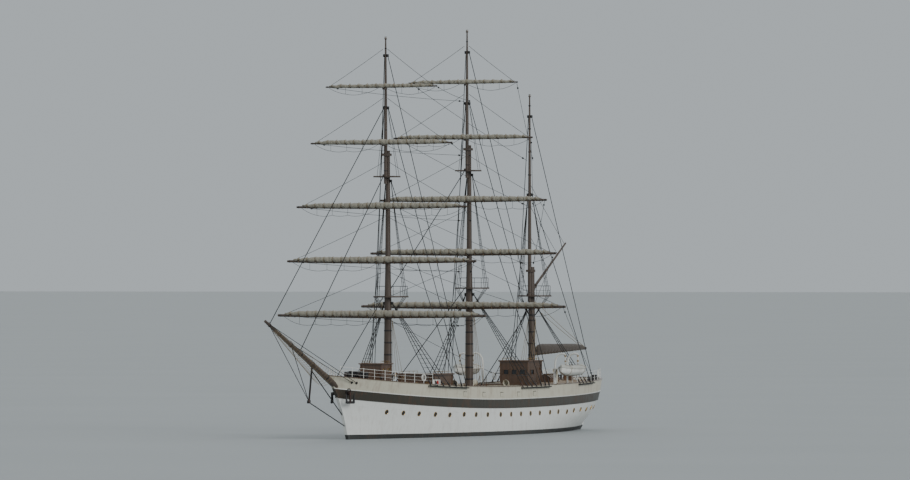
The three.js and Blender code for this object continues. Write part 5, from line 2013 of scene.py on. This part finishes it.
    def _skylight(self) -> None:
        """Stands a glazed skylight on the poop, behind the mizzen mast."""
        wood, glass, brass = Shape(), Shape(), Shape()
        (x0, x1), half = self.skylight, 0.62
        deck = self.form.deck_at(-18.5, True)
        wood.box((x0, x1), (-half, half), (deck - 0.06, deck + 0.42))
        for s in (-1, 1):
            low, high = (half + 0.05) * s, 0.03 * s
            places = np.linspace(x0 - 0.03, x1 + 0.03, 5)
            slope = [[(x, low, deck + 0.42), (x, high, deck + 0.8)] for x in places]
            glass.grid(np.array(slope) + (0, 0, -0.02))
            for row in slope:
                wood.beam(row[0], row[1], 0.05, 0.06)
            for k in (0, 1):
                wood.beam(slope[0][k], slope[-1][k], 0.07, 0.06)
            for x in np.linspace(x0 + 0.1, x1 - 0.1, 12):
                brass.rod((x, low * 0.97, deck + 0.49), (x, high * 2, deck + 0.83), 0.009, 5)
        for x in (x0, x1):
            ridge = (x, 0, deck + 0.79)
            wood.grid([[(x, -half, deck + 0.4), ridge], [(x, half, deck + 0.4), ridge]])
        wood.placed("skylight_frame", "varnish", bevel=0.01)
        glass.placed("skylight_glass", "glass")
        brass.placed("skylight_bars", "brass")

    def _hatch_cover(self) -> None:
        """Lays battens and rings on the hatch lid. They ride on it."""
        shape, z = Shape(), self.lid_top
        for x in np.linspace(3.85, 5.95, 5):
            shape.beam((x, -1.15, z), (x, 1.15, z), 0.12, 0.03)
        for y in (0.6, -0.6):
            shape.ring((3.75, y, z + 0.015), UP, 0.07, 0.014, 14)
        shape.placed("hatch_lid_battens", "varnish", "mid_hatch_lid", bevel=0.008)


@dataclass
class Boats:
    """The boats under their covers, with davits and falls.

    Attributes:
        x: place along of their middle.
        y: place across of their middle.
        keel: height of the keel.
        top: height of the gunwale's ends.
        half: half their breadth.
        length: their length.
        davits: places along of the davits' falls.
        cover_cut: not used.
    """

    x: float = -11.2
    y: float = 5.75
    keel: float = 5.65
    top: float = 6.6
    half: float = 0.85
    length: float = 5.0
    davits: tuple[float, float] = (-9.7, -12.7)
    cover_cut: tuple[float, float] = (0.9, 2.6)

    def build(self) -> None:
        """Makes the boat of each side."""
        dress(["davits_port", "davits_starboard"], "trim", 0.012)
        for side in Side:
            self._boat(side)

    def _section(self, s: float, side: Side) -> tuple[np.ndarray, np.ndarray]:
        """Returns a boat's hull and cover sections, from one gunwale to the other.

        Args:
            s: the place along, from -1 at the stern to 1 at the stem.
            side: the side of the ship.

        Returns:
            The hull's section and the cover's.
        """
        half = self.half * (1 - s**4 * 0.8) * (1 if s < 0 else 1 - 0.5 * s**3)
        keel, sheer = self.keel + 0.35 * s**4, self.top - 0.2 + 0.15 * s * s
        x = self.x + s * self.length / 2
        turn = np.linspace(-math.pi / 2, math.pi / 2, 19)
        depth = (sheer - keel) * np.cos(turn) ** 0.62
        y = side.value * self.y + half * np.sin(turn)
        hull = np.stack([np.full(len(turn), x), y, sheer - depth], 1)
        t = np.linspace(-1, 1, 15)
        ridge = 0.19 * (1 - np.abs(t) ** 1.4) + 0.012 * np.cos(s * 14) * (1 - np.abs(t))
        top = np.stack([half * 1.03 * t, sheer + 0.03 + ridge], 1)
        skirt = 0.1 + 0.025 * math.cos(s * 31)
        edges = [[(half * 1.03 + 0.05) * way, sheer - skirt * share] for way, share in ((-1, 1), (-1, 0.2))]
        profile = np.array([*edges, *top, *((-y, z) for y, z in edges[::-1])])
        cover = np.insert(profile + (side.value * self.y, 0), 0, x + 0.06 * s, axis=1)
        return hull, cover

    def _boat(self, side: Side) -> None:
        """Makes one boat, clinker built, with its cover, keel, gripes and tackles.

        Args:
            side: the side of the ship.
        """
        label, across = side.label, side.value * self.y
        stations = np.linspace(-1, 1, 41)
        sections = [self._section(float(s), side) for s in stations]
        planks = np.array([hull for hull, _ in sections])
        rising = [0.012 * (k % 3) / 2 for k in range(9)]
        lap = np.array([*rising, 0.0, *rising[::-1]])
        planks[:, :, 1] += lap[None] * np.sign(planks[:, :, 1] - across)
        hull = Shape().grid(planks, caps=True)
        hull.placed(f"boat_{label}_planks", "trim", replaces=[f"boat_{label}"], angle=18)
        covers = np.array([cover for _, cover in sections])
        cover = Shape().grid(covers, caps=True).placed(f"boat_{label}_cover", "awning", angle=60)
        trim, rope = Shape(), Shape()
        for edge in (0, -1):
            trim.tube(planks[:, edge], 0.035)
        trim.tube(planks[:, 9] - (0, 0, 0.02), 0.04)
        trim.placed(f"boat_{label}_gunwale", "varnish")
        block = [(0.05, 0), (0.1, 0.05), (0.1, 0.17), (0.05, 0.22)]
        for x in self.davits:
            k = int(np.argmin(np.abs(planks[:, 0, 0] - x)))
            band = np.concatenate([planks[k], covers[k][::-1]])
            middle = band.mean(0)
            rope.tube(middle + (band - middle) * 1.02, 0.022, 6, loop=True)
            rope.rod((x, across, self.top), (x, across, 7.7), 0.03)
            for z in (6.95, 7.45):
                rope.turned((x, across, z), UP, block, 12)
        rope.placed(f"boat_{label}_gripes", "rope")


@dataclass
class DeckGear:
    """Windlass, anchors, bitts, ventilators, capstan, pin rails, lights, bell and life rings.

    Attributes:
        form: the hull's surface.
        hawse: place along and height of the hawse pipes.
        link: the chain's pitch.
        capstan_x: place along of the capstan.
        bell_x: place along of the belfry.
        light_x: place along of the side lights.
    """

    form: HullForm
    hawse: tuple[float, float] = (29.2, 4.6)
    link: float = 0.13
    capstan_x: float = 24.0
    bell_x: float = 17.35
    light_x: float = 17.0

    def build(self) -> None:
        """Makes the gear on deck."""
        dress(["windlass", "anchor_port", "anchor_starboard"], "iron", 0.015)
        self._chain()
        self._bitts()
        self._ventilators()
        self._capstan()
        self._pin_rails()
        self._freeing_ports()
        self._side_lights()
        self._belfry()
        self._life_rings()

    def _chain(self) -> None:
        """Leads a chain from each side of the windlass to its hawse pipe."""
        shape, turn = Shape(), round_turn(12)
        deck = self.form.deck_at(27, True)
        leads = ((26.25, 0.8, 0.75), (26.9, 0.85, 0.1), (28.7, 1.1, 0.2))
        for side in Side:
            points = [np.array((x, y * side.value, deck + up)) for x, y, up in leads]
            for a, b in zip(points, points[1:]):
                count = max(2, round(float(np.linalg.norm(b - a)) / self.link))
                axis = (b - a) / np.linalg.norm(b - a)
                up = np.cross(axis, (0, 1, 0))
                for k in range(count):
                    middle = sharing(a, b, (k + 0.5) / count)
                    flat = up if k % 2 else np.cross(axis, up)
                    link = middle + 0.1 * np.cos(turn)[:, None] * axis + 0.06 * np.sin(turn)[:, None] * flat
                    shape.tube(link, 0.022, 6, loop=True)
            at, out = self.form.near(*self.hawse, side)
            shape.ring(at, out, 0.26, 0.07)
        shape.placed("anchor_chain", "iron")

    def _bitts(self) -> None:
        """Stands pairs of bitts along the sides."""
        shape = Shape()
        profile = [(0.12, 0), (0.1, 0.06), (0.1, 0.36), (0.15, 0.4), (0.14, 0.46), (0.05, 0.5)]
        for x, raised in ((24.2, True), (14.2, False), (-6.6, False), (-21.6, True), (-25.4, True)):
            edge = self.form.rail(x, 0.75)
            for side in Side:
                y = edge[1] * side.value
                deck = self.form.deck_at(x, raised, edge[1])
                shape.box((x - 0.55, x + 0.55), (y - 0.17, y + 0.17), (deck - 0.03, deck + 0.06))
                for dx in (-0.32, 0.32):
                    shape.turned((x + dx, y, deck + 0.04), UP, profile, 18)
        shape.placed("bitts", "iron", bevel=0.01)

    def _ventilators(self) -> None:
        """Stands cowl ventilators on the decks."""
        cowl = Shape()
        # Place along and across, way that the mouth faces, and size
        places = (
            (6.9, 1.6, 1, 0.26),
            (6.9, -1.6, 1, 0.26),
            (-4.4, 1.9, 1, 0.24),
            (-4.4, -1.9, -1, 0.24),
            (-16.6, 1.7, 1, 0.2),
        )
        turn = np.linspace(0, math.pi / 2, 7)
        for x, y, way, size in places:
            deck, reach = self.form.deck_at(x, x < -9, y), size * 1.5
            bend = [(x + way * reach * (1 - math.cos(t)), y, deck + 0.9 + reach * math.sin(t)) for t in turn]
            mouth = (bend[-1][0] + way * 0.12, y, bend[-1][2])
            path = [(x, y, deck - 0.05), (x, y, deck + 0.5), *bend, mouth]
            radii = [size * 0.62, size * 0.62, *np.linspace(size * 0.62, size * 1.15, 7), size * 1.3]
            cowl.bell(path, radii, 0.02)
            cowl.ring(path[-1], (1, 0, 0), size * 1.3 - 0.01, 0.018)
            cowl.ring((x, y, deck + 0.02), UP, size * 0.62, 0.04)
        cowl.placed("ventilator_cowls", "cream")

    def _capstan(self) -> None:
        """Stands a capstan on the forecastle."""
        x, deck = self.capstan_x, self.form.deck_at(self.capstan_x, True)
        foot = [(0.42, 0), (0.42, 0.06), (0.27, 0.1), (0.2, 0.4)]
        head = [(0.26, 0.7), (0.34, 0.74), (0.34, 0.86), (0.1, 0.9)]
        shape = Shape().turned((x, 0, deck - 0.02), UP, [*foot, *head], 28)
        for turn in round_turn(8):
            dx, dy = math.cos(turn), math.sin(turn)
            low, high = (x + 0.25 * dx, 0.25 * dy, deck + 0.14), (x + 0.27 * dx, 0.27 * dy, deck + 0.66)
            shape.beam(low, high, 0.05, 0.05)
        shape.placed("capstan", "iron", bevel=0.01)

    def _pin_rails(self) -> None:
        """Runs pin rails inside the bulwarks beside the main mast, with coils of rope on them."""
        wood, rope = Shape(), Shape()
        section = np.array([(0, -0.1, 0), (0, 0.1, 0), (0, 0.1, 0.07), (0, -0.1, 0.07)])
        pin = [(0.018, 0), (0.02, 0.22), (0.032, 0.3), (0.028, 0.44)]
        for side in Side:
            places = np.linspace(-0.6, -6.0, 12)
            line = np.array([self.form.rail(x, 0.36, side) for x in places]) - (0, 0, 0.3)
            wood.grid(line[:, None] + section, closed=True, caps=True)
            for p in line[1:-1]:
                wood.turned(p - (0, 0, 0.2), UP, pin, 8)
                coil_of_rope(rope, p + (0, -0.16 * side.value, -0.02), 0.12, 0.4)
        wood.placed("pin_rails", "varnish", bevel=0.01)
        rope.placed("pin_rail_coils", "rope")

    def _freeing_ports(self) -> None:
        """Hinges freeing ports in the main deck's bulwarks."""
        plates, hinges = Shape(), Shape()
        for side in Side:
            for u in np.arange(0.37, 0.62, 0.05):
                at = np.linspace(u, u + 0.009, 5)
                foot, head = (outward(LEVELS[name].line(at), 0.02) for name in ("bandTop", "rail"))
                low, high = sharing(foot, head, 0.2), sharing(foot, head, 0.55)
                section = [low, high, outward(high, 0.02), outward(low, 0.02)]
                plates.grid(mirrored(np.stack(section, 1), side), closed=True, caps=True)
                edge = mirrored(outward(high, 0.03), side)
                for k in (1, 3):
                    hinges.rod(edge[k - 1], edge[k], 0.028)
        plates.placed("freeing_ports", "cream", bevel=0.006)
        hinges.placed("freeing_port_hinges", "iron")

    def _side_lights(self) -> None:
        """Fixes the side lights and their screens to the forecastle rail."""
        screens = Shape()
        lamp = [(0.1, 0), (0.11, 0.02), (0.11, 0.26), (0.07, 0.3), (0.04, 0.36)]
        for side, color in ((Side.PORT, "red"), (Side.STARBOARD, "green")):
            x, y, z = self.form.rail(self.light_x, 0.1, side)
            out = side.value
            shelf, tall = sorted((y, y + 0.34 * out)), (z + 0.05, z + 0.5)
            screens.box((x - 0.5, x + 0.5), sorted((y - 0.05 * out, y)), tall)
            screens.box((x - 0.5, x - 0.45), shelf, tall)
            screens.box((x - 0.5, x + 0.5), shelf, (z + 0.03, z + 0.06))
            light = Shape().turned((x - 0.2, y + 0.17 * out, z + 0.06), UP, lamp, 20)
            light.placed(f"side_light_{color}", color)
        screens.placed("side_light_screens", "trim", bevel=0.01)

    def _belfry(self) -> None:
        """Hangs the ship's bell over the break of the forecastle."""
        x, wood = self.bell_x, Shape()
        deck = self.form.deck_at(x, True)
        arch = [(x, 0.3 * math.cos(t), deck + 0.95 + 0.2 * math.sin(t)) for t in np.linspace(0, math.pi, 9)]
        wood.tube([(x, 0.3, deck - 0.05), *arch, (x, -0.3, deck - 0.05)], 0.05, 10)
        outside = [(0.03, 0), (0.07, -0.02), (0.1, -0.1), (0.12, -0.2), (0.17, -0.29)]
        inside = [(0.16, -0.29), (0.1, -0.18), (0.02, -0.05)]
        bell = Shape().turned((x, 0, deck + 1.08), UP, [*outside, *inside], 28)
        bell.rod((x, 0, deck + 1.03), (x, 0, deck + 0.78), 0.012).ball((x, 0, deck + 0.78), 0.03)
        bell.rod((x, 0, deck + 1.06), (x, 0, deck + 1.16), 0.02)
        wood.placed("belfry", "varnish")
        bell.placed("bell", "brass")

    def _life_rings(self) -> None:
        """Hangs life rings inside the guard rails."""
        shape = Shape()
        for x in (18.6, -15.2, -24.0):
            for side in Side:
                at = self.form.rail(x, 0.27, side)
                inside = self.form.rail(x - 1, 0.27, side) - self.form.rail(x + 1, 0.27, side)
                shape.ring(at + (0, 0, 0.62), (-inside[1], inside[0], 0), 0.3, 0.06)
        shape.placed("life_rings", "trim")


@dataclass
class Steering:
    """The wheel, the compass stand before it, the rudder and the propeller.

    Attributes:
        form: the hull's surface.
        compass_x: place along of the compass stand.
        wheel: place along and height of the wheel's middle.
        wheel_radius: radius of the brass on its rim.
    """

    form: HullForm
    compass_x: float = -22.4
    wheel: tuple[float, float] = (-24.05, 5.95)
    wheel_radius: float = 0.55

    def build(self) -> None:
        """Dresses the steering gear and adds its brass."""
        dress(["helm_stand", "helm_wheel"], "varnish", 0.01)
        dress(["rudder"], "antifouling", 0.02)
        dress(["propeller"], "bronze", 0.01)
        x, deck = self.compass_x, self.form.deck_at(self.compass_x, True)
        wood, brass = Shape(), Shape()
        stand = [(0.26, 0), (0.26, 0.1), (0.2, 0.14), (0.18, 0.85), (0.22, 0.9)]
        wood.turned((x, 0, deck - 0.02), UP, stand, 8)
        turns = np.linspace(0, math.pi / 2, 7)
        dome = [(0.21, 0), (0.21, 0.12), *((0.21 * math.cos(t), 0.12 + 0.2 * math.sin(t)) for t in turns[1:])]
        brass.turned((x, 0, deck + 0.88), UP, dome, 24)
        for side in Side:
            ball = (x, 0.31 * side.value, deck + 1.0)
            brass.ball(ball, 0.08)
            brass.rod((x, 0.2 * side.value, deck + 1.0), ball, 0.02)
        wood.placed("binnacle", "varnish")
        brass.placed("binnacle_hood", "brass")
        wheel_x, height = self.wheel
        rim = Shape().ring((wheel_x, 0, height), (1, 0, 0), self.wheel_radius, 0.02)
        rim.turned((wheel_x + 0.13, 0, height), (1, 0, 0), [(0.1, -0.23), (0.1, -0.2)], 20)
        rim.placed("helm_wheel_brass", "brass", "helm_wheel")
        grating = Shape().box((-24.6, -22.9), (-0.62, 0.62), (deck - 0.08, deck + 0.07))
        grating.placed("helm_grating", "varnish", bevel=0.01)


@dataclass
class Studio:
    """Camera, floor and light.

    Attributes:
        azimuth: direction of the camera from the ship, in degrees.
        distance: the camera's distance.
        height: the camera's height over the water.
        target: what it looks at.
        lens: its focal length, in millimetres.
        reach: how far it sees.
        floor_reach: half the floor's breadth.
    """

    azimuth: float = 115.0
    distance: float = 370.0
    height: float = 7.75
    target: Point = (1.9, 0.0, 9.5)
    lens: float = 300.0
    reach: float = 9000.0
    floor_reach: float = 3000.0

    def build(self) -> None:
        """Sets the camera at the photograph's angle over a pale floor at the waterline."""
        scene = bpy.context.scene
        camera = bpy.data.objects.new("camera", bpy.data.cameras.new("camera"))
        scene.collection.objects.link(camera)
        scene.camera = camera
        angle = math.radians(self.azimuth)
        target = Vector(self.target)
        away = Vector((math.sin(angle), -math.cos(angle), 0))
        camera.location = target + away * self.distance
        camera.location.z = self.height
        camera.rotation_euler = (target - camera.location).to_track_quat("-Z", "Y").to_euler()
        camera.data.lens = self.lens
        camera.data.clip_end = self.reach
        self._floor()
        self._lights()

    def _floor(self) -> None:
        """Lays the pale floor at the level of the water."""
        graph = Graph("floor")
        cloudy = graph.noise(graph.add("TexCoord").outputs["Object"], 0.05)
        shade = graph.mix(cloudy, (0.3, 0.325, 0.33, 1), (0.34, 0.365, 0.37, 1))
        shader = graph.add("BsdfPrincipled", {"Base Color": shade, "Roughness": 0.7})
        graph.add("OutputMaterial", {"Surface": shader.outputs[0]})
        mesh = bpy.data.meshes.new("floor")
        far = self.floor_reach
        mesh.from_pydata([(-far, -far, 0), (far, -far, 0), (far, far, 0), (-far, far, 0)], [], [(0, 1, 2, 3)])
        mesh.materials.append(graph.material)
        floor = bpy.data.objects.new("floor", mesh)
        bpy.context.scene.collection.objects.link(floor)

    def _lights(self) -> None:
        """Lights the ship softly, as on an overcast day."""
        world = bpy.data.worlds.new("world")
        bpy.context.scene.world = world
        world.use_nodes = True
        background = world.node_tree.nodes["Background"]
        background.inputs[0].default_value = (0.56, 0.61, 0.64, 1)
        background.inputs[1].default_value = 0.8
        for name, azimuth, elevation, spread, power in (
            ("key", 160, 24, 30, 1.9),
            ("fill", 85, 22, 60, 0.5),
            ("back", 300, 40, 50, 0.45),
        ):
            light = bpy.data.lights.new(name, "SUN")
            light.angle, light.energy = math.radians(spread), power
            lamp = bpy.data.objects.new(name, light)
            turn, rise = math.radians(azimuth), math.radians(elevation)
            away = Vector((math.sin(turn) * math.cos(rise), -math.cos(turn) * math.cos(rise), math.sin(rise)))
            lamp.rotation_euler = (-away).to_track_quat("-Z", "Y").to_euler()
            bpy.context.scene.collection.objects.link(lamp)


def main() -> None:
    """Builds the ship round her frame, part by part."""
    logging.basicConfig(level=logging.INFO, format="%(message)s")
    Studio().build()
    form = HullForm()
    for part in (
        Hull(form),
        Masts(form),
        SquareYards(),
        AfterSails(),
        HeadGear(form),
        Houses(form),
        Boats(),
        DeckGear(form),
        Steering(form),
    ):
        LOG.info("building %s", type(part).__name__)
        part.build()


if __name__ == "__main__":
    main()
